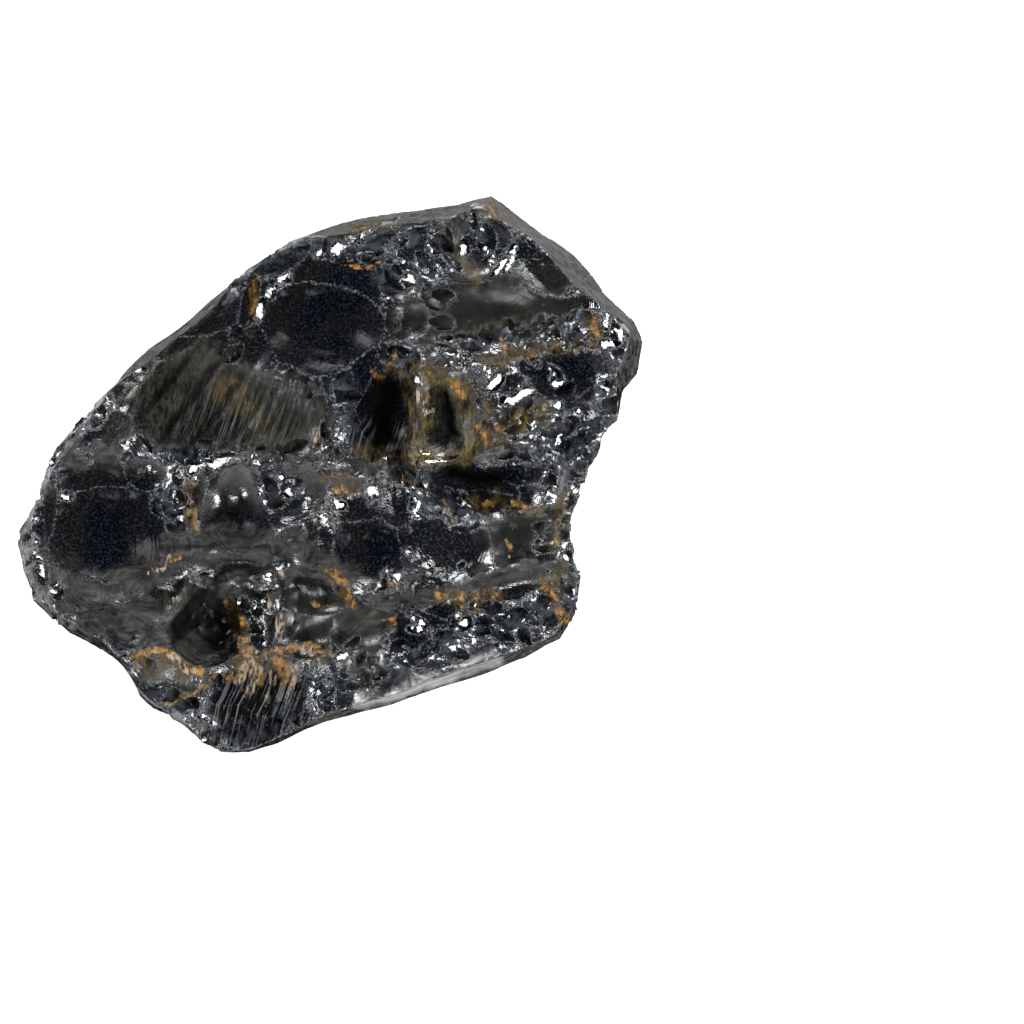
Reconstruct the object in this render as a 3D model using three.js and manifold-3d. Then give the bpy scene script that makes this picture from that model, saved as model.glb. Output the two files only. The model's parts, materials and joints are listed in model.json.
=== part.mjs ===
// A specimen of noble shungite: one natural piece, rough-broken on every side.
//
// The stone is a convex block that has lost shell-shaped flakes. Each lost flake leaves a scar, a
// shallow smooth hollow, and sharp ridges stand where neighbouring scars meet.
// Units are millimetres. +Z is up, and the origin is under the middle of the stone, on the surface
// that it rests on.

import * as THREE from 'three';
import { ConvexGeometry } from 'three/addons/geometries/ConvexGeometry.js';
import { mergeVertices } from 'three/addons/utils/BufferGeometryUtils.js';
import Module from 'manifold-3d';

// ---------------------------------------------------------------- driving dimensions

// The broken upper face follows a plane that rises towards +Y.
const FACE_HEIGHT = 8.6;
const FACE_RISE = 0.12;

// The widest line around the stone: x, y, z.
const GIRDLE = [
  [8.6, 16.5, 5.5], [12.4, 13.9, 5.2], [14.8, 11.4, 5.0], [17.0, 8.7, 5.0], [17.4, 7.2, 5.5],
  [14.2, -3.0, 5.0], [13.7, -8.0, 4.6], [12.6, -9.8, 3.9], [10.2, -10.9, 3.3], [8.0, -11.4, 3.0],
  [4.8, -12.6, 2.9], [2.0, -13.8, 3.0], [-1.8, -15.3, 3.5], [-4.5, -16.4, 4.0], [-5.9, -16.5, 4.2],
  [-7.0, -16.1, 4.4], [-9.2, -14.4, 4.6], [-15.3, -9.0, 4.6], [-16.5, -8.0, 4.7],
  [-17.4, -4.6, 5.2], [-17.3, -2.9, 5.4], [-15.6, 0.9, 5.7], [-12.6, 4.3, 6.0], [-8.6, 8.3, 6.2],
  [-5.3, 12.1, 6.0], [-2.2, 13.9, 6.0], [0.0, 14.8, 5.8], [5.5, 16.2, 5.5],
];

// The rim of the upper face: x, y, height above its plane.
const BROW = [
  [-14.4, -0.2, 0.2], [-10.5, 4.2, 0.4], [-6.9, 8.0, 0.5], [-3.9, 10.4, 0.6], [0.6, 11.5, 0.8],
  [4.8, 12.1, 0.8], [8.5, 12.9, 0.6], [10.6, 11.5, 0.5], [12.3, 9.3, 0.5], [14.1, 7.3, 0.4],
  [16.3, 6.0, 0.1], [14.8, 1.8, 0.4], [13.4, -3.0, 0.4], [13.2, -8.8, 0.3], [12.1, -10.6, -0.1],
  [8.2, -11.7, -0.2], [3.9, -13.2, -0.2], [1.4, -14.3, -0.3], [-1.8, -15.5, -0.9],
  [-4.6, -16.2, -1.4], [-6.6, -15.6, -1.0], [-9.6, -13.2, -0.3], [-14.3, -9.0, -0.5],
  [-16.2, -5.0, -0.4],
];

// The flat patch that the stone rests on: x, y.
const FOOT = [
  [9.0, 9.5], [12.0, 4.0], [10.0, -5.0], [5.0, -8.5], [-3.0, -11.0],
  [-9.0, -9.0], [-12.0, -3.5], [-9.5, 3.0], [-3.0, 8.5], [3.5, 11.0],
];

// Scars of the upper face: x and y of the deepest point, its depth below the face's plane, half
// length, half width, hollow (how far the floor rises over that half), spin, lean from upright, and
// the lean's direction. Angles are in degrees.
const FACE_SCARS = [
  // the great round scar and the upper left
  [-1.15, 6.9, 1.35, 3.5, 3.15, 1.2, 0, 6, -50],
  [-2.1, 8.4, 0.65, 3.1, 2.4, 0.35, 35, 12, -50],
  [-7.1, 6.9, 0.7, 2.5, 1.7, 0.3, 55, 17, 145],
  [-4.9, 7.9, 0.8, 1.5, 0.5, 0.5, 82, 0, 0],
  [-5.2, 5.4, 0.6, 1.3, 1.2, 0.3, 60, 14, -40],
  [-10.6, 3.8, 1.0, 1.3, 0.9, 0.55, 38, 24, 130],
  [-12.0, 1.0, 0.7, 2.8, 1.9, 0.3, 45, 14, 150],
  [-8.8, 3.8, 0.4, 2.6, 1.3, 0.25, 55, 14, 140],
  [-6.4, 1.7, 0.8, 3.1, 2.8, 0.35, 10, 6, 200],
  [-3.9, 2.9, 0.6, 2.4, 1.5, 0.35, 20, 8, -90],
  [-2.0, 0.9, 0.95, 1.6, 1.5, 0.5, 20, 8, 180],
  // the band along the far rim
  [-3.1, 9.9, 0.5, 1.8, 0.9, 0.4, 30, 22, 110],
  [-0.9, 10.9, 0.3, 1.6, 0.9, 0.3, 12, 20, 80],
  [1.3, 10.5, 0.4, 1.5, 1.0, 0.3, 5, 16, -60],
  [3.2, 10.9, 0.3, 1.3, 1.1, 0.3, 10, 22, 20],
  [3.4, 9.2, 0.7, 1.2, 1.0, 0.5, 0, 8, -90],
  [5.1, 10.6, 0.45, 1.0, 1.6, 0.4, 0, 26, 0],
  [4.2, 7.5, 0.8, 1.4, 1.2, 0.5, 10, 14, -60],
  // the corner cavity and the smooth wide scar below it
  [8.1, 10.7, 1.15, 2.1, 1.9, 0.75, 20, 14, 120],
  [6.6, 10.9, 1.15, 1.6, 0.6, 0.55, -52, 10, 40],
  [7.5, 12.4, 0.8, 1.0, 0.6, 0.5, 0, 16, -90],
  [9.7, 12.2, 0.45, 1.2, 0.9, 0.3, -40, 18, 60],
  [8.8, 7.9, 1.1, 4.5, 1.9, 0.55, 7, 12, -85],
  [11.3, 9.4, 0.8, 2.4, 1.3, 0.5, -38, 12, 50],
  // the right tip and the ridges below it
  [15.4, 5.9, 0.9, 1.5, 1.1, 0.5, -70, 20, 0],
  [13.5, 6.3, 0.7, 1.3, 1.2, 0.4, 0, 14, -60],
  [10.9, 5.8, 0.55, 2.3, 1.0, 0.3, 12, 14, -80],
  [7.1, 5.3, 0.55, 2.4, 0.9, 0.35, 5, 12, -90],
  [9.4, 3.3, 1.05, 1.4, 1.4, 0.7, 0, 6, 90],
  [12.6, 3.5, 0.95, 2.4, 1.6, 0.55, -8, 12, 100],
  [11.6, 0.9, 0.7, 1.8, 1.2, 0.35, 0, 18, -20],
  [9.6, 1.0, 0.7, 1.3, 1.2, 0.4, 0, 16, 60],
  [10.3, -0.9, 0.8, 1.6, 0.9, 0.35, 15, 20, -90],
  [13.1, -0.8, 0.9, 1.2, 1.6, 0.4, 10, 22, 10],
  // the two-lobed pocket
  [3.0, 1.5, 1.75, 1.5, 2.5, 0.9, 8, 10, 0],
  [6.4, 1.3, 1.45, 2.0, 2.3, 0.7, -25, 8, 180],
  [0.9, -0.6, 0.7, 1.4, 1.2, 0.4, -40, 14, -60],
  [0.5, 3.5, 0.6, 1.1, 1.6, 0.4, -35, 16, 0],
  [3.6, 5.0, 0.55, 1.4, 1.0, 0.3, 20, 16, -90],
  // the lens and the dark field of the right half
  [7.9, -2.5, 1.5, 2.9, 1.1, 0.75, -7, 14, -90],
  [0.9, -3.2, 1.2, 1.7, 1.3, 0.5, 5, 14, -70],
  [3.4, -3.0, 1.3, 1.3, 1.4, 0.5, 0, 10, -60],
  [6.3, -5.3, 1.7, 2.9, 2.1, 0.6, -12, 8, -90],
  [10.3, -5.0, 1.6, 2.3, 2.3, 0.6, 0, 6, -60],
  [1.9, -5.6, 1.7, 2.3, 1.9, 0.7, 30, 10, -120],
  [-1.2, -5.2, 1.35, 1.2, 1.6, 0.4, 20, 12, -60],
  [12.8, -5.6, 1.1, 0.9, 3.5, 0.4, 0, 18, 0],
  // the left half below the ledge
  [-2.2, -2.6, 1.4, 1.7, 1.6, 0.7, 0, 14, -90],
  [-5.5, -3.5, 1.8, 2.0, 2.0, 0.95, 0, 12, -80],
  [-8.4, -3.1, 1.3, 1.3, 2.1, 0.55, 10, 14, -60],
  [-12.7, -4.7, 1.9, 3.4, 2.9, 0.95, 10, 6, -80],
  [-13.9, -1.3, 1.2, 1.9, 1.0, 0.4, -15, 20, -70],
  [-10.9, -1.4, 1.0, 1.4, 0.9, 0.4, 0, 20, -90],
  [-16.0, -4.3, 1.4, 1.1, 2.4, 0.4, 0, 22, 180],
  // the swirl of the near left
  [-7.3, -5.6, 1.2, 2.8, 0.6, 0.4, 5, 10, -90],
  [-9.6, -8.1, 1.75, 2.3, 1.3, 0.65, 22, 10, -80],
  [-12.3, -8.9, 1.7, 2.8, 1.6, 0.5, -28, 18, -120],
  [-5.5, -6.8, 1.6, 2.5, 0.8, 0.5, 8, 8, -90],
  [-7.0, -10.1, 2.6, 1.7, 1.9, 1.05, 0, 8, 0],
  [-3.9, -8.1, 1.9, 1.4, 1.3, 0.65, 30, 8, -90],
  [-4.3, -10.2, 2.1, 1.1, 1.5, 0.55, 0, 8, 180],
  [-1.2, -8.3, 1.95, 1.8, 1.5, 0.7, 0, 8, -60],
  [-1.2, -10.6, 2.2, 1.8, 1.4, 0.7, 0, 8, 90],
  [1.5, -10.5, 2.1, 1.9, 1.6, 0.65, 20, 6, -150],
  [2.7, -8.1, 1.7, 1.1, 1.0, 0.5, 0, 8, -90],
  [5.0, -7.7, 1.45, 1.8, 0.9, 0.3, 10, 14, -90],
  [9.3, -8.0, 1.55, 3.2, 0.8, 0.3, 10, 22, -90],
  // the near rim
  [4.9, -10.4, 1.95, 2.2, 1.4, 0.7, 0, 8, -80],
  [7.4, -9.7, 1.9, 1.3, 1.2, 0.65, 0, 6, -80],
  [9.4, -9.6, 1.9, 1.4, 1.3, 0.65, 0, 6, -80],
  [11.5, -9.1, 1.7, 1.4, 1.4, 0.5, -20, 8, -60],
  [7.0, -11.3, 1.4, 2.4, 0.6, 0.4, 20, 26, -70],
  [10.9, -10.4, 1.3, 1.7, 0.6, 0.4, 22, 26, -70],
  [0.5, -12.8, 2.15, 1.6, 1.9, 0.65, 0, 12, -80],
  [2.5, -12.7, 1.5, 1.2, 1.4, 0.5, -30, 20, -60],
  [-2.5, -12.9, 2.1, 1.8, 1.6, 0.5, 0, 10, -90],
  [-5.4, -12.6, 2.0, 1.7, 1.1, 0.5, 20, 6, -90],
  [-8.9, -12.7, 1.95, 2.2, 1.4, 0.5, -25, 20, -120],
  [-4.6, -15.1, 1.7, 3.1, 1.5, 0.25, -8, 38, -98],
  [-7.7, -14.5, 1.5, 1.3, 1.1, 0.3, -20, 28, -130],
  [-1.5, -14.8, 1.6, 1.4, 0.8, 0.4, 20, 34, -75],
  [-15.9, -7.1, 2.0, 0.8, 1.4, 0.5, -15, 26, -160],
];

// Scars of the flanks and the underside: x, y and z of the deepest point, then the same values.
const FLANK_SCARS = [
  // the hollowed right side and the left side
  [13.0, -2.2, 6.2, 5.2, 3.6, 1.2, 82, 105, -8],
  [-12.6, -10.6, 4.5, 3.0, 2.4, 0.7, -38, 90, -128],
  [-15.9, -0.6, 5.5, 2.5, 2.5, 0.5, 260, 90, 170],
  // the slopes of the far side
  [0.3, 12.9, 8.1, 3.0, 2.0, 0.3, 190, 57, 100],
  [5.1, 13.9, 7.9, 2.8, 2.0, 0.3, 190, 52, 100],
  [-8.6, 6.8, 7.6, 3.2, 1.6, 0.3, 228, 62, 138],
  // the undercut flanks
  [14.1, 4.5, 2.8, 4.4, 2.8, 0.6, 85, 125, -5],
  [11.6, -5.4, 2.6, 3.8, 2.6, 0.6, 75, 130, -15],
  [6.8, -9.6, 2.1, 4.0, 2.4, 0.5, 25, 130, -65],
  [-1.3, -12.5, 2.2, 4.0, 3.2, 0.6, -8, 143, -98],
  [-8.0, -11.5, 2.6, 3.6, 3.0, 0.6, -30, 135, -120],
  [-12.7, -7.3, 2.7, 3.6, 3.2, 0.6, -60, 138, -150],
  [-14.0, -2.4, 3.1, 3.8, 3.2, 0.7, 268, 138, 178],
  [-10.9, 3.0, 3.2, 4.0, 2.8, 0.6, 230, 125, 140],
  [-6.0, 7.7, 3.2, 3.6, 2.8, 0.6, 218, 122, 128],
  [0.1, 11.9, 3.2, 4.2, 3.2, 0.7, 188, 130, 98],
  [7.9, 12.8, 3.0, 3.8, 3.4, 0.7, 160, 133, 70],
  [12.8, 8.2, 2.9, 3.8, 3.2, 0.7, 125, 130, 35],
  // the underside
  [6.2, 6.0, 0.8, 4.2, 2.8, 0.6, 35, 172, 45],
  [-7.2, -5.6, 0.7, 4.0, 2.6, 0.5, 125, 173, 215],
  [6.0, -4.6, 0.6, 3.4, 2.2, 0.5, 70, 172, -45],
  [-5.0, 3.6, 0.35, 3.0, 1.6, 0.3, 20, 176, 130],
];

// A scar's cutter is a bowl, a paraboloid that reaches this far out from the scar's floor.
const CUT_REACH = 4.5;
// Bands between the bowl's floor and its mouth, as shares of the mouth's radius.
const BANDS = [0.22, 0.42, 0.62, 1];
// Facets around a bowl, for a scar at least this long and for a smaller one.
const LARGE_SCAR = 2;
const LARGE_SCAR_FACETS = 16;
const SMALL_SCAR_FACETS = 10;

// The slow bends of every outline: a sine wave along (x, y, z), its phase, and its push.
const BENDS = [
  { wave: [0.45, 0.25, 0.2], phase: 0.4, push: [0.14, -0.1, 0.05] },
  { wave: [-0.3, 0.55, 0.1], phase: 1.9, push: [-0.12, 0.12, 0.05] },
  { wave: [0.9, -0.7, 0.3], phase: 3.1, push: [0.07, 0.08, 0.04] },
  { wave: [0.6, 1.2, -0.3], phase: 5.0, push: [0.07, -0.05, 0.03] },
];
// The foot stays flat: the bends grow from nothing on the resting surface to full at this height.
const FULL_BEND_HEIGHT = 2;

const STONE_COLOUR = 0x16171b;
const STONE_ROUGHNESS = 0.25;
const STONE_METALNESS = 0.2;

// ---------------------------------------------------------------- solids

const wasm = await Module();
wasm.setup();

// Turns a closed geometry into a solid that can be joined and cut.
function solidFrom(geometry) {
  const bare = geometry.clone().deleteAttribute('normal').deleteAttribute('uv');
  const merged = mergeVertices(bare, 1e-5);
  return new wasm.Manifold(new wasm.Mesh({
    numProp: 3,
    vertProperties: new Float32Array(merged.attributes.position.array),
    triVerts: new Uint32Array(merged.index.array),
  }));
}

// Turns a solid back into an indexed geometry.
function geometryFrom(solid) {
  const mesh = solid.getMesh();
  const geometry = new THREE.BufferGeometry();
  geometry.setAttribute('position', new THREE.BufferAttribute(mesh.vertProperties, mesh.numProp));
  geometry.setIndex(new THREE.BufferAttribute(mesh.triVerts, 1));
  return geometry;
}

// ---------------------------------------------------------------- the stone

const radians = THREE.MathUtils.degToRad;
const faceHeightAt = (y) => FACE_HEIGHT + FACE_RISE * y;

function blockSolid() {
  const girdle = GIRDLE.map(([x, y, z]) => new THREE.Vector3(x, y, z));
  const brow = BROW.map(([x, y, rise]) => new THREE.Vector3(x, y, faceHeightAt(y) + rise));
  const foot = FOOT.map(([x, y]) => new THREE.Vector3(x, y, 0));
  return solidFrom(new ConvexGeometry([...girdle, ...brow, ...foot]));
}

// The bowl that cuts one scar: it opens along its own +Z from the scar's deepest point.
function cutterSolid([x, y, z, halfLength, halfWidth, hollow, spin, lean, direction]) {
  const mouth = Math.sqrt(CUT_REACH / hollow);
  const profile = [0, ...BANDS].map((share) => (
    new THREE.Vector2(mouth * share, hollow * (mouth * share) ** 2)
  ));
  const facets = halfLength >= LARGE_SCAR ? LARGE_SCAR_FACETS : SMALL_SCAR_FACETS;
  const bowl = new THREE.LatheGeometry([...profile, new THREE.Vector2(0, CUT_REACH)], facets);
  bowl.rotateX(Math.PI / 2);
  bowl.scale(halfLength, halfWidth, 1);
  bowl.rotateZ(radians(spin - direction));
  bowl.rotateY(radians(lean));
  bowl.rotateZ(radians(direction));
  bowl.translate(x, y, z);
  return solidFrom(bowl);
}

function carvedSolid() {
  const faceScars = FACE_SCARS.map(([x, y, depth, ...form]) => [x, y, faceHeightAt(y) - depth, ...form]);
  const cutters = [...faceScars, ...FLANK_SCARS].map(cutterSolid);
  const carved = cutters.reduce((stone, cutter) => stone.subtract(cutter), blockSolid());
  // Crumbs that the cuts set free are dropped: the largest body is the stone.
  const bodies = carved.decompose().sort((a, b) => b.volume() - a.volume());
  return bodies[0];
}

// Bends the stone's outlines, so that no scar stays a perfect oval.
function bend(geometry) {
  const position = geometry.attributes.position;
  const point = new THREE.Vector3();
  for (let i = 0; i < position.count; i += 1) {
    point.fromBufferAttribute(position, i);
    const strength = THREE.MathUtils.clamp(point.z / FULL_BEND_HEIGHT, 0, 1);
    const shift = new THREE.Vector3();
    for (const { wave, phase, push } of BENDS) {
      const swing = Math.sin(point.dot(new THREE.Vector3(...wave)) + phase);
      shift.addScaledVector(new THREE.Vector3(...push), swing * strength);
    }
    point.add(shift);
    position.setXYZ(i, point.x, point.y, point.z);
  }
  return geometry;
}

const stoneGeometry = bend(geometryFrom(carvedSolid())).toNonIndexed();
stoneGeometry.computeVertexNormals();

const shungite = new THREE.MeshStandardMaterial({
  color: STONE_COLOUR,
  roughness: STONE_ROUGHNESS,
  metalness: STONE_METALNESS,
});

const stone = new THREE.Mesh(stoneGeometry, shungite);
stone.name = 'shungite_stone';

const specimen = new THREE.Group();
specimen.add(stone);

export default specimen;
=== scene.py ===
"""A specimen of noble shungite, lying on a pale studio floor.

The stone is worked out in millimetres as a field: a convex block that has lost shell-shaped flakes
and small chips. The field is contoured to a mesh, bent a little, roughened, and marked with the
stains that its material shows. Everything in Blender is in metres.
"""
import json
import math

import bmesh
import bpy
import numpy as np
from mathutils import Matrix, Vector

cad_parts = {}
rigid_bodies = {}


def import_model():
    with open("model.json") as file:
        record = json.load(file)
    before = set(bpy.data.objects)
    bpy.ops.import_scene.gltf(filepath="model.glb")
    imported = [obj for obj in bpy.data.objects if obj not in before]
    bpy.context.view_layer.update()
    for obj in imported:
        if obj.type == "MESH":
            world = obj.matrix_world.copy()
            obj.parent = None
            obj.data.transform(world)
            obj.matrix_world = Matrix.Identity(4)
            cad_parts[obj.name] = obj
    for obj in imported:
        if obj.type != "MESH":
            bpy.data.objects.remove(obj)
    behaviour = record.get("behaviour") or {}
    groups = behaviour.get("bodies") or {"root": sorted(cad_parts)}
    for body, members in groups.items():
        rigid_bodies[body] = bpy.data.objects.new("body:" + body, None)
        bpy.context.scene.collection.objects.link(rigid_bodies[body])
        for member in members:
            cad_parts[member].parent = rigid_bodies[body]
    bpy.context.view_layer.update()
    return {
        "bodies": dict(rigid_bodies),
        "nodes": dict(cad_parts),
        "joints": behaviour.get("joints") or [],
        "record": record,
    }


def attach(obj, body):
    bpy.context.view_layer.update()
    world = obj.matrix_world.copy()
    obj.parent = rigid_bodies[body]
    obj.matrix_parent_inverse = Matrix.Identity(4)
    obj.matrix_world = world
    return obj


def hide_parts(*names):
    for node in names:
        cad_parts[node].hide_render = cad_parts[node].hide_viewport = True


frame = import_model()

MILLIMETRE = 0.001
NODE = "shungite_stone"

# ---------------------------------------------------------------- the stone's driving dimensions, mm

# The broken upper face follows a plane that rises towards +Y.
FACE_HEIGHT = 8.6
FACE_RISE = 0.12

# The widest line around the stone: x, y, z.
GIRDLE = [
    (8.6, 16.5, 5.5), (12.4, 13.9, 5.2), (14.8, 11.4, 5.0), (17.0, 8.7, 5.0), (17.4, 7.2, 5.5),
    (14.2, -3.0, 5.0), (13.7, -8.0, 4.6), (12.6, -9.8, 3.9), (10.2, -10.9, 3.3), (8.0, -11.4, 3.0),
    (4.8, -12.6, 2.9), (2.0, -13.8, 3.0), (-1.8, -15.3, 3.5), (-4.5, -16.4, 4.0), (-5.9, -16.5, 4.2),
    (-7.0, -16.1, 4.4), (-9.2, -14.4, 4.6), (-15.3, -9.0, 4.6), (-16.5, -8.0, 4.7),
    (-17.4, -4.6, 5.2), (-17.3, -2.9, 5.4), (-15.6, 0.9, 5.7), (-12.6, 4.3, 6.0), (-8.6, 8.3, 6.2),
    (-5.3, 12.1, 6.0), (-2.2, 13.9, 6.0), (0.0, 14.8, 5.8), (5.5, 16.2, 5.5),
]

# The rim of the upper face: x, y, height above its plane.
BROW = [
    (-14.4, -0.2, 0.2), (-10.5, 4.2, 0.4), (-6.9, 8.0, 0.5), (-3.9, 10.4, 0.6), (0.6, 11.5, 0.8),
    (4.8, 12.1, 0.8), (8.5, 12.9, 0.6), (10.6, 11.5, 0.5), (12.3, 9.3, 0.5), (14.1, 7.3, 0.4),
    (16.3, 6.0, 0.1), (14.8, 1.8, 0.4), (13.4, -3.0, 0.4), (13.2, -8.8, 0.3), (12.1, -10.6, -0.1),
    (8.2, -11.7, -0.2), (3.9, -13.2, -0.2), (1.4, -14.3, -0.3), (-1.8, -15.5, -0.9),
    (-4.6, -16.2, -1.4), (-6.6, -15.6, -1.0), (-9.6, -13.2, -0.3), (-14.3, -9.0, -0.5),
    (-16.2, -5.0, -0.4),
]

# The flat patch that the stone rests on: x, y.
FOOT = [
    (9.0, 9.5), (12.0, 4.0), (10.0, -5.0), (5.0, -8.5), (-3.0, -11.0),
    (-9.0, -9.0), (-12.0, -3.5), (-9.5, 3.0), (-3.0, 8.5), (3.5, 11.0),
]

# Scars of the upper face: x and y of the deepest point, its depth below the face's plane, half
# length, half width, hollow (how far the floor rises over that half), spin, lean from upright, and
# the lean's direction. Angles are in degrees.
FACE_SCARS = [
    # the great round scar and the upper left
    (-1.15, 6.9, 1.35, 3.5, 3.15, 1.2, 0, 6, -50),
    (-2.1, 8.4, 0.65, 3.1, 2.4, 0.35, 35, 12, -50),
    (-7.1, 6.9, 0.7, 2.5, 1.7, 0.3, 55, 17, 145),
    (-4.9, 7.9, 0.8, 1.5, 0.5, 0.5, 82, 0, 0),
    (-5.2, 5.4, 0.6, 1.3, 1.2, 0.3, 60, 14, -40),
    (-10.6, 3.8, 1.0, 1.3, 0.9, 0.55, 38, 24, 130),
    (-12.0, 1.0, 0.7, 2.8, 1.9, 0.3, 45, 14, 150),
    (-8.8, 3.8, 0.4, 2.6, 1.3, 0.25, 55, 14, 140),
    (-6.4, 1.7, 0.8, 3.1, 2.8, 0.35, 10, 6, 200),
    (-3.9, 2.9, 0.6, 2.4, 1.5, 0.35, 20, 8, -90),
    (-2.0, 0.9, 0.95, 1.6, 1.5, 0.5, 20, 8, 180),
    # the band along the far rim
    (-3.1, 9.9, 0.5, 1.8, 0.9, 0.4, 30, 22, 110),
    (-0.9, 10.9, 0.3, 1.6, 0.9, 0.3, 12, 20, 80),
    (1.3, 10.5, 0.4, 1.5, 1.0, 0.3, 5, 16, -60),
    (3.2, 10.9, 0.3, 1.3, 1.1, 0.3, 10, 22, 20),
    (3.4, 9.2, 0.7, 1.2, 1.0, 0.5, 0, 8, -90),
    (5.1, 10.6, 0.45, 1.0, 1.6, 0.4, 0, 26, 0),
    (4.2, 7.5, 0.8, 1.4, 1.2, 0.5, 10, 14, -60),
    # the corner cavity and the smooth wide scar below it
    (8.1, 10.7, 1.15, 2.1, 1.9, 0.75, 20, 14, 120),
    (6.6, 10.9, 1.15, 1.6, 0.6, 0.55, -52, 10, 40),
    (7.5, 12.4, 0.8, 1.0, 0.6, 0.5, 0, 16, -90),
    (9.7, 12.2, 0.45, 1.2, 0.9, 0.3, -40, 18, 60),
    (8.8, 7.9, 1.1, 4.5, 1.9, 0.55, 7, 12, -85),
    (11.3, 9.4, 0.8, 2.4, 1.3, 0.5, -38, 12, 50),
    # the right tip and the ridges below it
    (15.4, 5.9, 0.9, 1.5, 1.1, 0.5, -70, 20, 0),
    (13.5, 6.3, 0.7, 1.3, 1.2, 0.4, 0, 14, -60),
    (10.9, 5.8, 0.55, 2.3, 1.0, 0.3, 12, 14, -80),
    (7.1, 5.3, 0.55, 2.4, 0.9, 0.35, 5, 12, -90),
    (9.4, 3.3, 1.05, 1.4, 1.4, 0.7, 0, 6, 90),
    (12.6, 3.5, 0.95, 2.4, 1.6, 0.55, -8, 12, 100),
    (11.6, 0.9, 0.7, 1.8, 1.2, 0.35, 0, 18, -20),
    (9.6, 1.0, 0.7, 1.3, 1.2, 0.4, 0, 16, 60),
    (10.3, -0.9, 0.8, 1.6, 0.9, 0.35, 15, 20, -90),
    (13.1, -0.8, 0.9, 1.2, 1.6, 0.4, 10, 22, 10),
    # the two-lobed pocket
    (3.0, 1.5, 1.75, 1.5, 2.5, 0.9, 8, 10, 0),
    (6.4, 1.3, 1.45, 2.0, 2.3, 0.7, -25, 8, 180),
    (0.9, -0.6, 0.7, 1.4, 1.2, 0.4, -40, 14, -60),
    (0.5, 3.5, 0.6, 1.1, 1.6, 0.4, -35, 16, 0),
    (3.6, 5.0, 0.55, 1.4, 1.0, 0.3, 20, 16, -90),
    # the lens and the dark field of the right half
    (7.9, -2.5, 1.5, 2.9, 1.1, 0.75, -7, 14, -90),
    (0.9, -3.2, 1.2, 1.7, 1.3, 0.5, 5, 14, -70),
    (3.4, -3.0, 1.3, 1.3, 1.4, 0.5, 0, 10, -60),
    (6.3, -5.3, 1.7, 2.9, 2.1, 0.6, -12, 8, -90),
    (10.3, -5.0, 1.6, 2.3, 2.3, 0.6, 0, 6, -60),
    (1.9, -5.6, 1.7, 2.3, 1.9, 0.7, 30, 10, -120),
    (-1.2, -5.2, 1.35, 1.2, 1.6, 0.4, 20, 12, -60),
    (12.8, -5.6, 1.1, 0.9, 3.5, 0.4, 0, 18, 0),
    # the left half below the ledge
    (-2.2, -2.6, 1.4, 1.7, 1.6, 0.7, 0, 14, -90),
    (-5.5, -3.5, 1.8, 2.0, 2.0, 0.95, 0, 12, -80),
    (-8.4, -3.1, 1.3, 1.3, 2.1, 0.55, 10, 14, -60),
    (-12.7, -4.7, 1.9, 3.4, 2.9, 0.95, 10, 6, -80),
    (-13.9, -1.3, 1.2, 1.9, 1.0, 0.4, -15, 20, -70),
    (-10.9, -1.4, 1.0, 1.4, 0.9, 0.4, 0, 20, -90),
    (-16.0, -4.3, 1.4, 1.1, 2.4, 0.4, 0, 22, 180),
    # the swirl of the near left
    (-7.3, -5.6, 1.2, 2.8, 0.6, 0.4, 5, 10, -90),
    (-9.6, -8.1, 1.75, 2.3, 1.3, 0.65, 22, 10, -80),
    (-12.3, -8.9, 1.7, 2.8, 1.6, 0.5, -28, 18, -120),
    (-5.5, -6.8, 1.6, 2.5, 0.8, 0.5, 8, 8, -90),
    (-7.0, -10.1, 2.6, 1.7, 1.9, 1.05, 0, 8, 0),
    (-3.9, -8.1, 1.9, 1.4, 1.3, 0.65, 30, 8, -90),
    (-4.3, -10.2, 2.1, 1.1, 1.5, 0.55, 0, 8, 180),
    (-1.2, -8.3, 1.95, 1.8, 1.5, 0.7, 0, 8, -60),
    (-1.2, -10.6, 2.2, 1.8, 1.4, 0.7, 0, 8, 90),
    (1.5, -10.5, 2.1, 1.9, 1.6, 0.65, 20, 6, -150),
    (2.7, -8.1, 1.7, 1.1, 1.0, 0.5, 0, 8, -90),
    (5.0, -7.7, 1.45, 1.8, 0.9, 0.3, 10, 14, -90),
    (9.3, -8.0, 1.55, 3.2, 0.8, 0.3, 10, 22, -90),
    # the near rim
    (4.9, -10.4, 1.95, 2.2, 1.4, 0.7, 0, 8, -80),
    (7.4, -9.7, 1.9, 1.3, 1.2, 0.65, 0, 6, -80),
    (9.4, -9.6, 1.9, 1.4, 1.3, 0.65, 0, 6, -80),
    (11.5, -9.1, 1.7, 1.4, 1.4, 0.5, -20, 8, -60),
    (7.0, -11.3, 1.4, 2.4, 0.6, 0.4, 20, 26, -70),
    (10.9, -10.4, 1.3, 1.7, 0.6, 0.4, 22, 26, -70),
    (0.5, -12.8, 2.15, 1.6, 1.9, 0.65, 0, 12, -80),
    (2.5, -12.7, 1.5, 1.2, 1.4, 0.5, -30, 20, -60),
    (-2.5, -12.9, 2.1, 1.8, 1.6, 0.5, 0, 10, -90),
    (-5.4, -12.6, 2.0, 1.7, 1.1, 0.5, 20, 6, -90),
    (-8.9, -12.7, 1.95, 2.2, 1.4, 0.5, -25, 20, -120),
    (-4.6, -15.1, 1.7, 3.1, 1.5, 0.25, -8, 38, -98),
    (-7.7, -14.5, 1.5, 1.3, 1.1, 0.3, -20, 28, -130),
    (-1.5, -14.8, 1.6, 1.4, 0.8, 0.4, 20, 34, -75),
    (-15.9, -7.1, 2.0, 0.8, 1.4, 0.5, -15, 26, -160),
]

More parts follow.
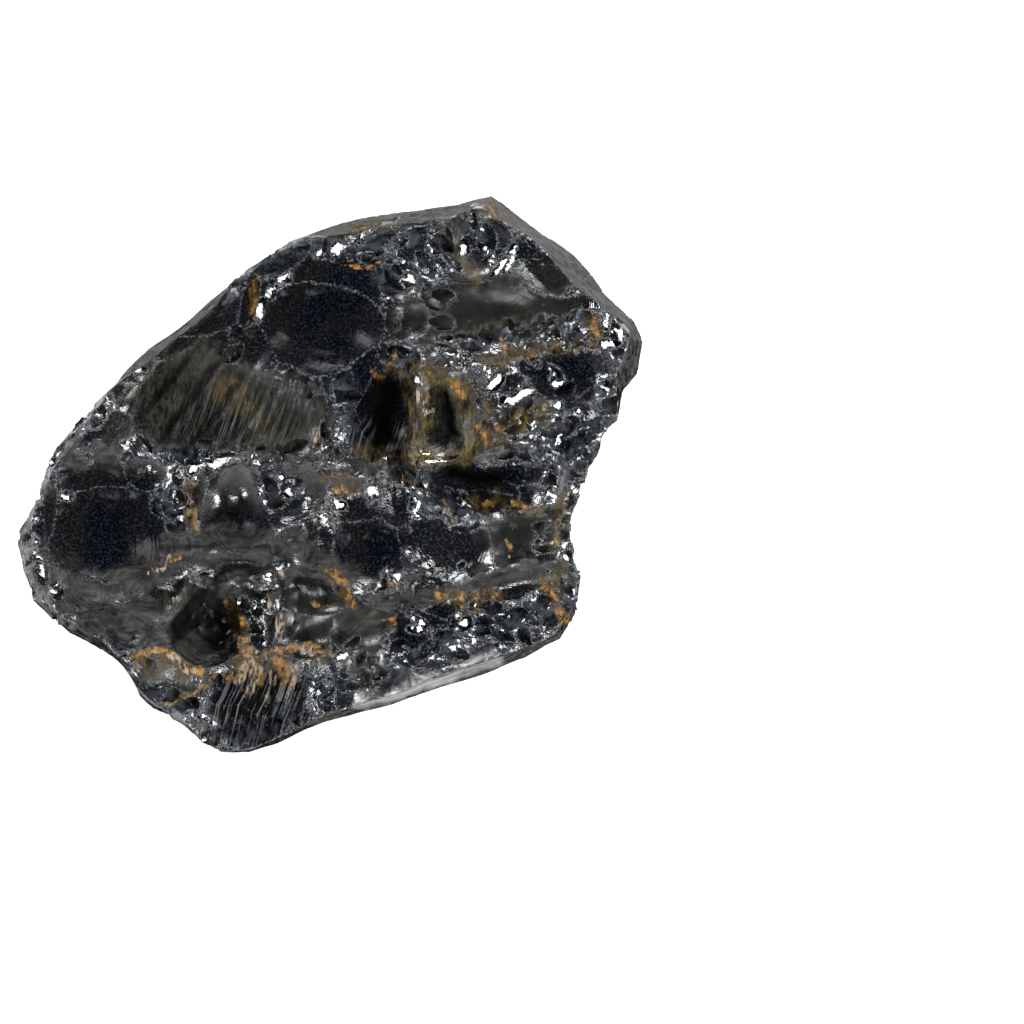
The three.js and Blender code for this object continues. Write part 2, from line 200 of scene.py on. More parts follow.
# Scars of the flanks and the underside: x, y and z of the deepest point, then the same values.
FLANK_SCARS = [
    # the hollowed right side and the left side
    (13.0, -2.2, 6.2, 5.2, 3.6, 1.2, 82, 105, -8),
    (-12.6, -10.6, 4.5, 3.0, 2.4, 0.7, -38, 90, -128),
    (-15.9, -0.6, 5.5, 2.5, 2.5, 0.5, 260, 90, 170),
    # the slopes of the far side
    (0.3, 12.9, 8.1, 3.0, 2.0, 0.3, 190, 57, 100),
    (5.1, 13.9, 7.9, 2.8, 2.0, 0.3, 190, 52, 100),
    (-8.6, 6.8, 7.6, 3.2, 1.6, 0.3, 228, 62, 138),
    # the undercut flanks
    (14.1, 4.5, 2.8, 4.4, 2.8, 0.6, 85, 125, -5),
    (11.6, -5.4, 2.6, 3.8, 2.6, 0.6, 75, 130, -15),
    (6.8, -9.6, 2.1, 4.0, 2.4, 0.5, 25, 130, -65),
    (-1.3, -12.5, 2.2, 4.0, 3.2, 0.6, -8, 143, -98),
    (-8.0, -11.5, 2.6, 3.6, 3.0, 0.6, -30, 135, -120),
    (-12.7, -7.3, 2.7, 3.6, 3.2, 0.6, -60, 138, -150),
    (-14.0, -2.4, 3.1, 3.8, 3.2, 0.7, 268, 138, 178),
    (-10.9, 3.0, 3.2, 4.0, 2.8, 0.6, 230, 125, 140),
    (-6.0, 7.7, 3.2, 3.6, 2.8, 0.6, 218, 122, 128),
    (0.1, 11.9, 3.2, 4.2, 3.2, 0.7, 188, 130, 98),
    (7.9, 12.8, 3.0, 3.8, 3.4, 0.7, 160, 133, 70),
    (12.8, 8.2, 2.9, 3.8, 3.2, 0.7, 125, 130, 35),
    # the underside
    (6.2, 6.0, 0.8, 4.2, 2.8, 0.6, 35, 172, 45),
    (-7.2, -5.6, 0.7, 4.0, 2.6, 0.5, 125, 173, 215),
    (6.0, -4.6, 0.6, 3.4, 2.2, 0.5, 70, 172, -45),
    (-5.0, 3.6, 0.35, 3.0, 1.6, 0.3, 20, 176, 130),
]

# The slow bends of every outline: a sine wave along (x, y, z), its phase, and its push.
BENDS = [
    ((0.45, 0.25, 0.2), 0.4, (0.14, -0.1, 0.05)),
    ((-0.3, 0.55, 0.1), 1.9, (-0.12, 0.12, 0.05)),
    ((0.9, -0.7, 0.3), 3.1, (0.07, 0.08, 0.04)),
    ((0.6, 1.2, -0.3), 5.0, (0.07, -0.05, 0.03)),
]
# The foot stays flat: the bends grow from nothing on the resting surface to full at this height.
FULL_BEND_HEIGHT = 2.0

# ---------------------------------------------------------------- fine form, mm

# The grid's cells: their width, the width in the first coarse sketch, and how much taller than wide.
GRID_STEP = 0.165
SKETCH_STEP = 0.25
CELL_HEIGHT = 1.25
# The grid reaches this far past the stone, and further above it.
GRID_MARGIN = 0.4
GRID_HEADROOM = 1.4

# How far up a scar's hollow cuts.
SCAR_REACH = 4.0

# Where a cutter crosses a grid line is found by halving, this many times, and its slope by probing.
HALVINGS = 8
SLOPE_PROBE = 0.002
# How firmly each point of the surface is held to the middle of its crossings, and the share of its
# cell's width that it keeps off the cell's walls.
POINT_HOLD = 0.05
CELL_WALL = 0.02
# The smallest length that is safe to divide by.
TINY = 1e-9

# Notches: small hollows with flat sides, left by splinters. How many, how readily they form on smooth
# ground, whether they keep to ridges, smallest and largest depth, and smallest and largest slope of
# their sides in degrees.
NOTCHES = [
    (520, 0.0, False, (0.04, 0.2), (10, 34)),
    (360, 0.12, True, (0.03, 0.16), (12, 36)),
]
# How far a notch reaches from its deepest point, and how much it leans at random.
NOTCH_REACH = 0.8
NOTCH_TILT = 0.25
# The angle from one side of a notch to the next, in degrees.
NOTCH_TURNS = (70, 170)
# Facets: flat breaks that catch a lamp's light. Place on the face, half length, half width, and
# direction of the length in degrees.
FACETS = [
    (15.7, 6.2, 0.8, 0.38, 100), (15.3, 5.3, 0.6, 0.31, 20), (10.2, 2.5, 1.1, 0.5, 8),
    (8.9, 3.5, 0.6, 0.32, 60), (12.0, 4.0, 0.6, 0.25, -50), (8.2, 11.3, 0.5, 0.2, -45),
    (9.5, 10.5, 1.0, 0.18, 65), (3.0, 11.3, 0.3, 0.28, 60), (0.3, 11.4, 0.6, 0.38, 10),
    (-4.05, 7.6, 0.7, 0.3, 80), (-3.4, 8.55, 0.6, 0.28, 50), (-2.6, 9.25, 0.6, 0.22, 38),
    (-10.9, 3.8, 0.8, 0.24, 20), (-9.7, 5.0, 0.25, 0.19, -40), (-6.4, -1.2, 1.1, 0.4, 25),
    (-7.6, -1.4, 0.3, 0.25, 20), (-3.75, -1.5, 0.35, 0.17, 80), (-2.2, -2.7, 0.6, 0.3, 75),
    (0.2, -3.6, 0.3, 0.28, 0), (3.1, -1.1, 0.3, 0.25, 0), (-16.0, -7.2, 0.9, 0.3, -75),
    (-15.0, -8.6, 0.5, 0.4, -30), (-6.9, -15.5, 0.45, 0.18, -10), (-6.4, -16.1, 0.4, 0.3, -80),
    (-6.5, -13.6, 0.5, 0.17, 80), (0.7, -12.0, 1.3, 0.24, 50), (4.9, -10.7, 0.9, 0.18, -10),
    (4.6, -10.1, 0.7, 0.17, -15), (7.2, -10.3, 0.45, 0.25, 40), (9.4, -10.1, 0.4, 0.25, 30),
    (7.9, -9.4, 0.3, 0.17, 75), (5.9, -7.25, 0.3, 0.22, 0), (2.8, -12.2, 0.35, 0.31, 30),
    (13.0, 0.2, 0.5, 0.18, 20), (11.5, 1.0, 0.3, 0.25, 0), (7.4, -3.3, 0.5, 0.18, -60),
    (4.0, 9.3, 0.5, 0.35, 20), (8.9, 10.2, 0.9, 0.25, 60), (7.1, 11.2, 0.6, 0.28, 80),
    (-14.8, -3.0, 0.4, 0.25, 10), (6.0, -1.0, 1.1, 0.2, 0), (3.2, -7.4, 0.5, 0.26, -30),
    (5.7, 6.1, 0.7, 0.22, 15), (12.3, 3.2, 0.6, 0.3, -40), (-0.8, 10.9, 0.6, 0.26, 10),
    (2.5, 11.1, 0.4, 0.28, 20),
]
# How deep a facet cuts, and how much deeper for its width where the stone leans away from it.
FACET_DEPTH = 0.05
FACET_SINK = 0.8
# Half a facet's thickness, on top of its half width.
FACET_HEIGHT = 0.4
# Facets only stand where the stone faces up at least this much.
FACET_UPRIGHT = 0.3

# The step that probes how the bends turn a face.
BEND_PROBE = 0.05
# Glints: more such facets at random, where the stone already leans the right way. How many, smallest
# and largest half length and half width, and how far the stone may lean away in degrees.
GLINTS = 150
GLINT_LENGTHS = (0.15, 0.6)
GLINT_WIDTHS = (0.12, 0.28)
GLINT_LEAN = 15
GLINT_DEPTH = 0.05
GLINT_HEIGHT = 0.3
# How readily glints form on ridges and on other ground, next to 1 on rough ground.
GLINTS_ON_RIDGES = 0.25
GLINTS_ELSEWHERE = 0.05
# The stone's slope is read from this many rounds of averaging.
SLOPE_ROUNDS = 2

# Splinters broke off above this height only, and not from under overhangs. The marks fade in above it.
SPLINTERED_ABOVE = 1.5
OVERHANG = -0.1
MARK_FADE = 1.0
# How strongly glassy ground keeps splinters away, and the least share of them that still form.
GLASS_GUARD = 1.3
LEAST_SPLINTERS = 0.1

# The seeds of all that is placed at random.
WANDER_SEED = 5
NOTCH_SEED = 7
GLINT_SEED = 5
UNEVEN_SEED = 11
RIB_SEED = 3

# Gentle unevenness: number of waves, wavelength, height.
UNEVENNESS = [(14, 2.6, 0.03), (14, 0.9, 0.007), (14, 0.5, 0.0025)]
# Each wavelength varies by this much.
WAVELENGTH_SPREAD = (0.7, 1.3)
# How much more uneven rough ground is, and how much less a facet is.
UNEVEN_ROUGH = 1.5
UNEVEN_FACET = 0.7
# The unevenness is sunk by this much, so that nothing stands outside the block.
SUNK_BY = 0.055

# Ribs: the fine steps that ring each scar. Smallest and largest wavelength, greatest depth, and the
# share of it that glassy ground loses.
RIB_WAVES = (0.55, 1.1)
RIB_DEPTH = 0.035
RIBS_OFF_GLASS = 0.8
# Off the scars, the lines of the material turn by one radian over this much of x plus y.
RAY_LENGTH = 4

# A place is hollow when it lies below the stone that this many rounds of averaging give, and fully
# so at this depth.
HOLLOW_ROUNDS = 12
FULL_HOLLOW = 0.12
# The raw look of the flanks runs over their rim by this many rounds of averaging.
RAW_ROUNDS = 3

# Ripples in scars: x, y, reach, direction across the ripples (None: rings around x, y), wavelength,
# depth.
RIPPLES = [
    (11.3, 9.6, 1.7, 50, 0.6, 0.08),
    (5.2, -8.4, 2.9, None, 0.55, 0.06),
    (-4.6, -14.6, 2.2, -15, 0.6, 0.09),
    (-7.4, 2.2, 5.6, -35, 1.45, 0.12),
    (-11.8, -3.6, 2.8, 2, 0.55, 0.025),
    (2.4, -5.8, 2.6, None, 0.6, 0.06),
    (3.2, 0.2, 1.6, 5, 0.6, 0.05),
    (-9.8, -8.0, 2.4, 70, 0.9, 0.05),
    (12.0, 3.2, 1.8, 100, 0.8, 0.05),
    (-4.8, -8.8, 4.6, None, 1.1, 0.14),
    (-7.0, -9.6, 2.6, -35, 1.7, 0.2),
    (-3.0, -7.6, 2.0, -65, 1.3, 0.14),
]
# A ripple rises slowly over this share of its wavelength, then drops. It fades near its reach.
RIPPLE_RISE = 0.75
RIPPLE_FADE = 1.5
# Troughs of ripples this deep are painted black, as painted shade.
FULL_TROUGH = 0.12

# The line of sight that the marks were measured along: how far a mark moves for each step down.
SIGHT_SLOPE = 0.394

# ---------------------------------------------------------------- looks

SHUNGITE_IOR = 1.85
# The colours of the glass, its satin, dull, olive and raw ground, and its films, stains and crust.
BLUE_BLACK = (0.0015, 0.002, 0.0045)
WARM_BLACK = (0.0052, 0.005, 0.0048)
CHARCOAL = (0.031, 0.036, 0.045)
SHARD_GREY = (0.06, 0.065, 0.074)
SATIN_DARK = (0.007, 0.0075, 0.0065)
SATIN_LIGHT = (0.018, 0.019, 0.016)
DUST = (0.06, 0.06, 0.065)
# Light grey painted on ridges: partly wear, partly a painted highlight where the edges would catch the
# lamps.
WORN_AND_HIGHLIT_GREY = (0.19, 0.20, 0.21)
DULL_DARK = (0.009, 0.009, 0.008)
DULL_LIGHT = (0.082, 0.079, 0.067)
OLIVE_DARK = (0.006, 0.006, 0.004)
OLIVE_LIGHT = (0.057, 0.054, 0.031)
CREST_GREY = (0.06, 0.059, 0.062)
RAW_DARK = (0.010, 0.010, 0.009)
RAW_LIGHT = (0.115, 0.118, 0.106)
STREAK_DARK = (0.03, 0.028, 0.028)
# The pale of the streaks: partly their layers' colour, partly a painted reflection of the floor.
STREAK_PAINTED_REFLECTION = (0.4, 0.39, 0.39)
# Painted shade: the black painted into pits, hollows, ripple troughs and grooves.
PAINTED_SHADE_BLACK = (0.0015, 0.0015, 0.001)
RUST_DARK = (0.02, 0.014, 0.006)
RUST_LIGHT = (0.16, 0.095, 0.02)
OCHRE = (0.20, 0.105, 0.018)
ORANGE = (0.46, 0.22, 0.045)
GOLD_DARK = (0.018, 0.015, 0.005)
GOLD_LIGHT = (0.16, 0.105, 0.016)
CRUST_PINK = (0.50, 0.33, 0.18)
CRUST_PALE = (0.46, 0.40, 0.33)

# Edges sharper than this stay crisp, in degrees.
SHARP_RIDGE = 15
# How much of a mark its noise leaves standing where the noise is middling.
PATCH_CORE = 0.6

# The camera looks north and down at the stone, which lies left of the picture's middle.
CAMERA_ELEVATION = 67.5
CAMERA_DISTANCE = 0.249
CAMERA_TARGET = (0.0098, -0.0006, 0.0)
LENS = 154.7
SENSOR_WIDTH = 36.0
CLIP_START = 0.01

FLOOR_SIZE = 4.0
# The floor lies a hair below the stone, so that no two faces share a plane.
FLOOR_DROP = 0.00002
FLOOR_PALENESS = 0.9
FLOOR_ROUGHNESS = 0.9
LAMP_DISTANCE = 0.6
LAMP_COLOUR = (0.95, 0.98, 1.0)
# Name, direction it stands in and height above the floor in degrees, size in metres, power in watts.
LAMPS = [
    ("lamp_right", -30, 33, (0.13, 0.13), 2.1),
    ("lamp_far_left", 145, 35, (0.13, 0.10), 1.55),
    ("lamp_far_right", 45, 32, (0.11, 0.08), 0.95),
    ("lamp_near_left", -128, 34, (0.12, 0.09), 1.25),
    ("lamp_far", 95, 26, (0.20, 0.07), 1.5),
]
# A weaker lamp near the camera, for the sheen of the satin ground.
SHEEN_LAMP = ("lamp_near", -95, 51, (0.13, 0.05), 0.5)
# The floor is lit from below a little, as on a light table.
FLOOR_GLOW = 0.58
# The studio's walls fade from their brightness to the ceiling's, between two heights on a unit sphere.
WALL_LIGHT = 0.8
CEILING_LIGHT = 0.03
WALL_FOOT = 0.05
WALL_TOP = 0.8

# ---------------------------------------------------------------- marks on the face, mm

# How marks wander: wavelength, reach.
MARK_WANDER = [(2.6, 0.16), (0.9, 0.09), (0.4, 0.05)]
MARK_WAVES = 10
# The weight on a stroke's line, clipped to 1, and its fall over one half width.
STROKE_CORE = 1.25
STROKE_FALL = 0.75

# Each mark is a stroke on the face's plane: half width, and the points that it runs through.
MARKS = {
    # Loose, splintered ground with many small chips.
    "rough": [
        (0.5, [(-5.6, 9.6), (-4.0, 10.8), (-1.4, 11.3), (3.4, 11.3), (5.8, 11.9)]),
        (0.5, [(5.0, 10.2), (5.8, 7.6)]), (0.5, [(6.8, 12.4), (8.4, 12.0)]),
        (0.5, [(2.6, 9.2), (3.4, 9.2)]), (0.9, [(7.4, 5.9), (10.4, 6.2), (13.4, 6.2)]),
        (0.5, [(3.4, 4.7), (6.0, 4.9)]), (0.8, [(9.4, 1.6), (14.4, 1.4)]),
        (0.9, [(10.6, 0.2), (14.2, -0.6)]),
        (0.45, [(14.9, 2.6), (13.8, -1.6), (13.5, -6.0), (13.3, -9.2)]),
        (0.3, [(11.9, -2.2), (11.9, -5.8)]),
        (0.5, [(-0.8, -14.6), (3.2, -12.6), (5.9, -11.7), (8.4, -10.7), (12.6, -9.6)]),
        (0.5, [(-10.8, -0.4), (-8.5, -0.2), (-4.6, -0.9), (-1.0, -0.5), (2.4, -1.4), (5.2, -1.4)]),
        (0.5, [(-3.6, -1.2), (-1.8, -3.6)]), (0.4, [(-9.1, -2.9), (-7.8, -5.0)]),
        (0.45, [(-15.4, -0.9), (-17.1, -3.4), (-17.1, -5.4), (-16.2, -7.6), (-14.7, -9.8), (-12.6, -11.4)]),
        (0.35, [(-11.4, -12.2), (-8.8, -14.8), (-7.0, -16.2), (-5.1, -16.6), (-2.0, -15.2), (-0.8, -14.6)]),
        (0.4, [(-12.8, 2.4), (-15.0, -0.2)]), (0.6, [(0.6, -0.2), (0.4, 3.2)]),
        (0.35, [(-3.6, 4.2), (-2.0, 3.4), (0.2, 3.2)]), (0.5, [(4.8, -3.4), (7.4, -3.8)]),
    ],
    # Smooth, glassy floors that stayed whole.
    "glassy": [
        (3.5, [(-1.3, 7.1), (-0.9, 6.9)]), (1.3, [(6.4, 8.0), (11.4, 8.0)]),
        (1.6, [(2.8, 2.4), (3.0, 0.6)]), (1.0, [(6.4, 2.2), (6.6, 0.6)]),
        (2.4, [(-13.0, -4.6), (-12.2, -4.6)]), (1.7, [(-5.6, -3.8), (-5.2, -3.8)]),
        (0.9, [(6.2, -2.6), (9.6, -2.8)]), (1.6, [(-9.0, 1.6), (-4.4, 2.0)]),
        (1.5, [(-7.0, 7.0), (-8.0, 6.2)]), (1.4, [(2.0, -5.6), (2.4, -5.6)]),
        (1.2, [(-7.0, -10.1), (-6.6, -10.1)]), (1.3, [(-1.0, -9.4), (1.2, -10.4)]),
        (1.5, [(-4.9, -14.8), (-3.4, -14.6)]), (1.0, [(12.2, 3.4), (13.2, 3.2)]),
        (1.0, [(4.4, -10.4), (5.4, -10.2)]),
    ],
    # Glassy floors that mirror the studio.
    "bright": [(1.5, [(-5.9, -3.2), (-5.3, -3.2)])],
    # Fresh breaks at the rim, where the outside isn't weathered.
    "fresh": [
        (2.6, [(-17.6, -2.4), (-16.6, -7.8), (-12.0, -12.4), (-7.6, -15.8), (-4.6, -17.0)]),
        (1.2, [(15.4, 1.8), (14.4, -2.0), (14.0, -9.0)]),
        (1.2, [(-16.4, 0.8), (-12.0, 5.4), (-8.2, 9.2), (-5.0, 12.2)]),
    ],
    # Pits too deep for light to come back.
    "pit": [
        (0.95, [(3.0, 3.2), (2.7, 1.2), (2.8, 0.2)]), (0.3, [(6.2, 2.6), (6.5, 1.6), (7.0, 0.5)]),
        (0.4, [(6.6, -1.9), (9.2, -2.2)]),
    ],
    # The streaky stretch of the near side: its layers, painted pale in part as a painted reflection of the
    # floor.
    "streaky": [(0.4, [(1.8, -14.7), (5.4, -13.4), (8.6, -12.1)])],
    # Smooth ground with a satin sheen.
    "satin": [
        (1.9, [(5.6, 7.6), (11.4, 8.2)]), (1.3, [(9.0, -5.2), (12.0, -5.0)]),
        (1.4, [(-1.6, -9.6), (1.6, -10.4), (2.0, -12.6)]), (0.9, [(-4.6, 3.6), (-2.4, 3.2)]),
    ],
    # A broad translucent rust film.
    "rust": [
        (0.8, [(3.2, 4.2), (5.0, 4.3), (7.0, 3.6), (8.4, 2.0), (8.4, 0.0), (7.0, -0.9), (3.4, -0.6)]),
        (0.7, [(4.5, 3.0), (4.9, 0.8)]), (0.9, [(9.2, 0.6), (11.4, 1.6)]),
        (0.8, [(8.4, 4.6), (10.6, 5.4), (13.2, 5.2)]), (0.6, [(14.2, 7.0), (14.8, 5.4)]),
        (0.6, [(12.5, -3.0), (12.6, -6.0), (12.4, -8.6)]), (0.7, [(7.8, -3.5), (11.0, -3.6)]),
        (0.7, [(-0.2, -2.0), (1.0, -3.0)]), (0.5, [(-8.0, -2.4), (-7.6, -5.0)]),
        (0.6, [(5.8, -8.8), (9.4, -9.0)]), (0.6, [(11.6, -8.0), (12.6, -9.6)]),
        (0.7, [(0.0, 12.4), (3.0, 12.8)]), (0.8, [(8.6, 13.6), (9.8, 12.6)]),
        (0.6, [(6.6, 11.4), (7.8, 9.6)]), (0.6, [(-4.7, 9.2), (-4.6, 7.0)]),
        (0.8, [(-10.6, -12.2), (-7.4, -13.0)]), (1.0, [(-5.6, -12.6), (-1.0, -12.2)]),
        (0.5, [(-6.0, -9.0), (-5.0, -11.6)]), (0.5, [(-0.4, -7.0), (1.2, -9.2)]),
        (0.9, [(-6.2, 3.0), (-4.4, 0.8)]),
    ],
    # A dull grey-brown skin with rounded ridges.
    "dull": [
        (1.5, [(-15.0, -7.8), (-12.4, -9.6), (-9.4, -10.4), (-7.6, -11.4)]),
        (1.1, [(-12.2, -8.6), (-8.6, -6.2), (-4.8, -5.6), (-2.2, -6.0)]),
        (0.7, [(-8.4, -9.4), (-5.8, -7.8), (-3.0, -7.2)]),
        (0.5, [(3.0, -8.9), (6.0, -8.5), (10.6, -7.5), (12.6, -7.2)]),
        (0.9, [(-14.6, -0.4), (-12.6, -1.0)]), (0.6, [(6.6, 11.6), (7.7, 10.1)]),
        (0.8, [(1.2, -10.4), (2.6, -9.4)]), (0.7, [(-1.4, -7.0), (0.8, -7.0)]),
        (1.4, [(-7.4, 4.4), (-4.4, 2.6), (-2.6, 1.4)]),
    ],
    # Close parallel grooves.
    "ruled": [
        (1.7, [(-5.4, -14.9), (-2.8, -14.4)]), (1.6, [(-6.6, 1.6), (-3.4, 1.6)]),
        (0.9, [(1.8, 0.2), (3.8, -0.2)]),
    ],
    # A thin olive film.
    "olive": [
        (2.6, [(-9.6, 2.4), (-6.8, 2.8), (-4.2, 1.2)]),
        (1.0, [(-1.2, 1.8), (-1.0, 0.2), (-4.0, -0.2)]), (0.6, [(5.6, 6.2), (8.6, 6.8), (10.6, 7.2)]),
        (0.8, [(6.0, 13.0), (3.0, 12.9), (-0.8, 12.2)]), (0.7, [(6.4, 1.9), (7.2, 0.4)]),
        (0.9, [(3.4, -0.5), (5.6, -0.6)]), (0.9, [(-9.8, -12.8), (-8.2, -13.4)]),
        (0.7, [(-9.0, -8.9), (-7.6, -8.6)]), (0.7, [(1.0, -1.6), (3.0, -1.7)]),
        (0.6, [(11.2, -8.0), (12.4, -8.2)]),
    ],
    # Orange and ochre iron stains.
    "ochre": [
        (0.24, [(5.6, 3.7), (6.6, 3.3), (7.4, 2.4)]), (0.2, [(7.9, 0.6), (8.2, -0.2)]),
        (0.22, [(-4.75, 9.0), (-4.6, 8.1), (-4.7, 7.2)]), (0.14, [(-8.0, 6.5), (-7.7, 6.3)]),
        (0.34, [(0.8, 12.5), (2.0, 12.5)]), (0.30, [(8.8, 13.7), (9.3, 13.3)]),
        (0.12, [(0.4, 10.2), (1.2, 9.9), (2.6, 10.1)]), (0.22, [(9.0, 5.8), (9.4, 5.5)]),
        (0.20, [(8.5, 4.3), (9.3, 4.75)]), (0.24, [(10.6, 5.1), (11.3, 5.4)]),
        (0.20, [(11.9, 5.1), (13.1, 5.35)]), (0.22, [(14.25, 7.1), (14.4, 6.2), (14.9, 5.4)]),
        (0.22, [(3.3, 5.9), (3.5, 5.0)]), (0.28, [(2.1, 4.4), (2.6, 3.9)]),
        (0.18, [(9.0, 0.7), (10.4, 1.5), (11.4, 1.8)]), (0.11, [(-7.9, -2.2), (-7.6, -2.6)]),
        (0.13, [(-7.9, -3.3), (-7.7, -4.2), (-7.4, -5.1)]), (0.20, [(0.2, -2.7), (0.6, -3.1)]),
        (0.16, [(4.2, -2.2), (5.0, -2.6)]), (0.18, [(8.3, -3.4), (8.9, -3.6)]),
        (0.22, [(10.0, -3.3), (10.9, -3.6)]), (0.10, [(6.1, -3.3), (6.4, -4.4)]),
        (0.16, [(7.3, -6.6), (7.5, -6.9)]), (0.13, [(9.6, -5.4), (9.9, -6.4)]),
        (0.20, [(-8.3, -6.6), (-9.0, -7.0)]),
        (0.30, [(-5.95, -8.8), (-5.3, -9.8), (-5.05, -11.0), (-4.7, -11.9)]),
        (0.26, [(-0.35, -7.0), (0.4, -7.7), (0.8, -8.6), (1.2, -9.1)]),
        (0.12, [(-1.2, -8.9), (0.0, -9.0)]), (0.28, [(2.8, -7.7), (3.2, -8.0)]),
        (0.26, [(7.2, -8.7), (7.6, -9.4)]), (0.24, [(8.1, -8.8), (8.3, -9.5)]),
        (0.24, [(9.2, -8.6), (9.0, -9.2)]), (0.26, [(5.6, -8.7), (6.2, -8.9)]),
        (0.40, [(11.6, -8.2), (12.5, -8.9), (12.7, -9.8)]), (0.14, [(12.4, -4.4), (12.4, -6.0)]),
        (0.22, [(-10.8, -11.9), (-9.8, -11.6), (-8.6, -11.8), (-7.4, -12.6)]),
        (0.18, [(-9.0, -14.7), (-8.0, -14.1), (-6.8, -13.5), (-5.6, -13.2)]),
        (0.30, [(-5.7, -13.3), (-4.6, -12.2), (-2.9, -11.6), (-1.1, -11.5), (-0.2, -11.8)]),
        (0.14, [(2.7, -10.2), (3.4, -10.5)]), (0.5, [(-4.3, -12.4), (-3.9, -13.6)]),
        (0.4, [(-2.6, -12.2), (-2.2, -13.4)]),
    ],
    # An olive-gold film inside the pocket.
    "gold": [
        (0.75, [(5.3, 3.4), (6.3, 3.2), (7.1, 2.5), (7.7, 1.4), (7.9, 0.2), (7.2, -0.8)]),
        (0.8, [(4.3, 3.8), (4.6, 2.3), (5.0, 0.8), (4.4, -0.2)]),
        (0.6, [(1.4, -0.6), (3.4, -0.9), (5.4, -1.0)]), (0.35, [(-5.4, 3.4), (-4.4, 1.4)]),
        (0.5, [(9.2, 0.9), (11.2, 1.6)]),
    ],
    # A pale fibrous crust.
    "crust": [
        (0.26, [(-8.9, -11.9), (-7.8, -12.6)]), (0.34, [(-5.3, -13.1), (-4.4, -12.4)]),
        (0.36, [(-3.7, -12.3), (-4.4, -13.9)]), (0.28, [(-2.9, -12.9), (-3.3, -14.5)]),
        (0.32, [(-1.8, -12.6), (-2.2, -14.2)]), (0.20, [(-1.6, -11.7), (-0.9, -11.9)]),
        (0.22, [(-2.8, -7.4), (-3.3, -8.6), (-3.4, -9.4)]), (0.34, [(-2.9, -9.9), (-3.0, -10.9)]),
        (0.16, [(-10.2, -7.6), (-8.7, -6.8)]), (0.24, [(-1.0, 0.3), (-0.9, 1.4)]),
        (0.26, [(4.6, 2.8), (5.2, 1.4)]),
    ],
}

# ---------------------------------------------------------------- the field


def face_height_at(y):
    return FACE_HEIGHT + FACE_RISE * y


def turn(axis, degrees):
    """The matrix that turns by an angle about Y or Z."""
    c, s = math.cos(math.radians(degrees)), math.sin(math.radians(degrees))
    if axis == "y":
        return np.array([[c, 0, s], [0, 1, 0], [-s, 0, c]])
    return np.array([[c, -s, 0], [s, c, 0], [0, 0, 1]])


class Scar:
    """What a lost flake leaves: a paraboloid that opens along the third axis of its own frame."""

    def __init__(self, point, half_length, half_width, hollow, spin, lean, direction):
        self.point = np.array(point)
        self.frame = turn("z", direction) @ turn("y", lean) @ turn("z", spin - direction)
        self.half = np.array([half_length, half_width])
        self.hollow = hollow

    def depth(self, points):
        """How deep points lie in the hollow. Above zero, the stone is gone."""
        local = (points - self.point) @ self.frame
        across = local[..., :2] / self.half
        floor = self.hollow * (across**2).sum(-1)
        slope = 2 * self.hollow * across / self.half
        return (local[..., 2] - floor) / np.sqrt(1 + (slope**2).sum(-1))

    def box(self):
        mouth = self.half * math.sqrt(SCAR_REACH / self.hollow)
        top = self.point + self.frame[:, 2] * SCAR_REACH
        spread = np.sqrt(((self.frame[:, :2] * mouth) ** 2).sum(1))
        return np.minimum(self.point, top - spread), np.maximum(self.point, top + spread)


class Facet:
    """A small flat break, as far as an ellipsoid reaches."""

    def __init__(self, point, radii, normal, direction):
        self.point, self.radii = point, np.array(radii)
        self.frame = frame_around(normal, direction_at(direction + 90, 0))

    def depth(self, points):
        local = (points - self.point) @ self.frame
        inside = (1 - np.sqrt(((local / self.radii) ** 2).sum(-1))) * self.radii.min()
        return np.minimum(inside, local[..., 2])

    def box(self):
        return self.point - self.radii.max(), self.point + self.radii.max()


class Notch:
    """A small hollow with flat sides, which only reaches so far from its deepest point."""

    def __init__(self, point, sides):
        self.point, self.sides = point, sides

    def depth(self, points):
        local = points - self.point
        reach = NOTCH_REACH - np.sqrt((local**2).sum(-1))
        return np.minimum((local @ self.sides.T).min(-1), reach)

    def box(self):
        return self.point - NOTCH_REACH, self.point + NOTCH_REACH


def main_scars():
    face = [Scar((x, y, face_height_at(y) - depth), *form) for x, y, depth, *form in FACE_SCARS]
    flanks = [Scar((x, y, z), *form) for x, y, z, *form in FLANK_SCARS]
    return face + flanks


def block_planes():
    """The planes of the convex block: their outward normals and their distances."""
    corners = [tuple(point) for point in GIRDLE]
    corners += [(x, y, face_height_at(y) + rise) for x, y, rise in BROW]
    corners += [(x, y, 0.0) for x, y in FOOT]
    hull = bmesh.new()
    for corner in corners:
        hull.verts.new(corner)
    bmesh.ops.convex_hull(hull, input=hull.verts)
    hull.normal_update()
    middle = np.mean(corners, axis=0)
    planes = []
    for face in hull.faces:
        normal = np.array(face.normal)
        distance = normal @ np.array(face.calc_center_median())
        if normal @ middle > distance:
            normal, distance = -normal, -distance
        planes.append((*normal, distance))
    hull.free()
    planes = np.unique(np.round(planes, 5), axis=0)
    return planes[:, :3], planes[:, 3]


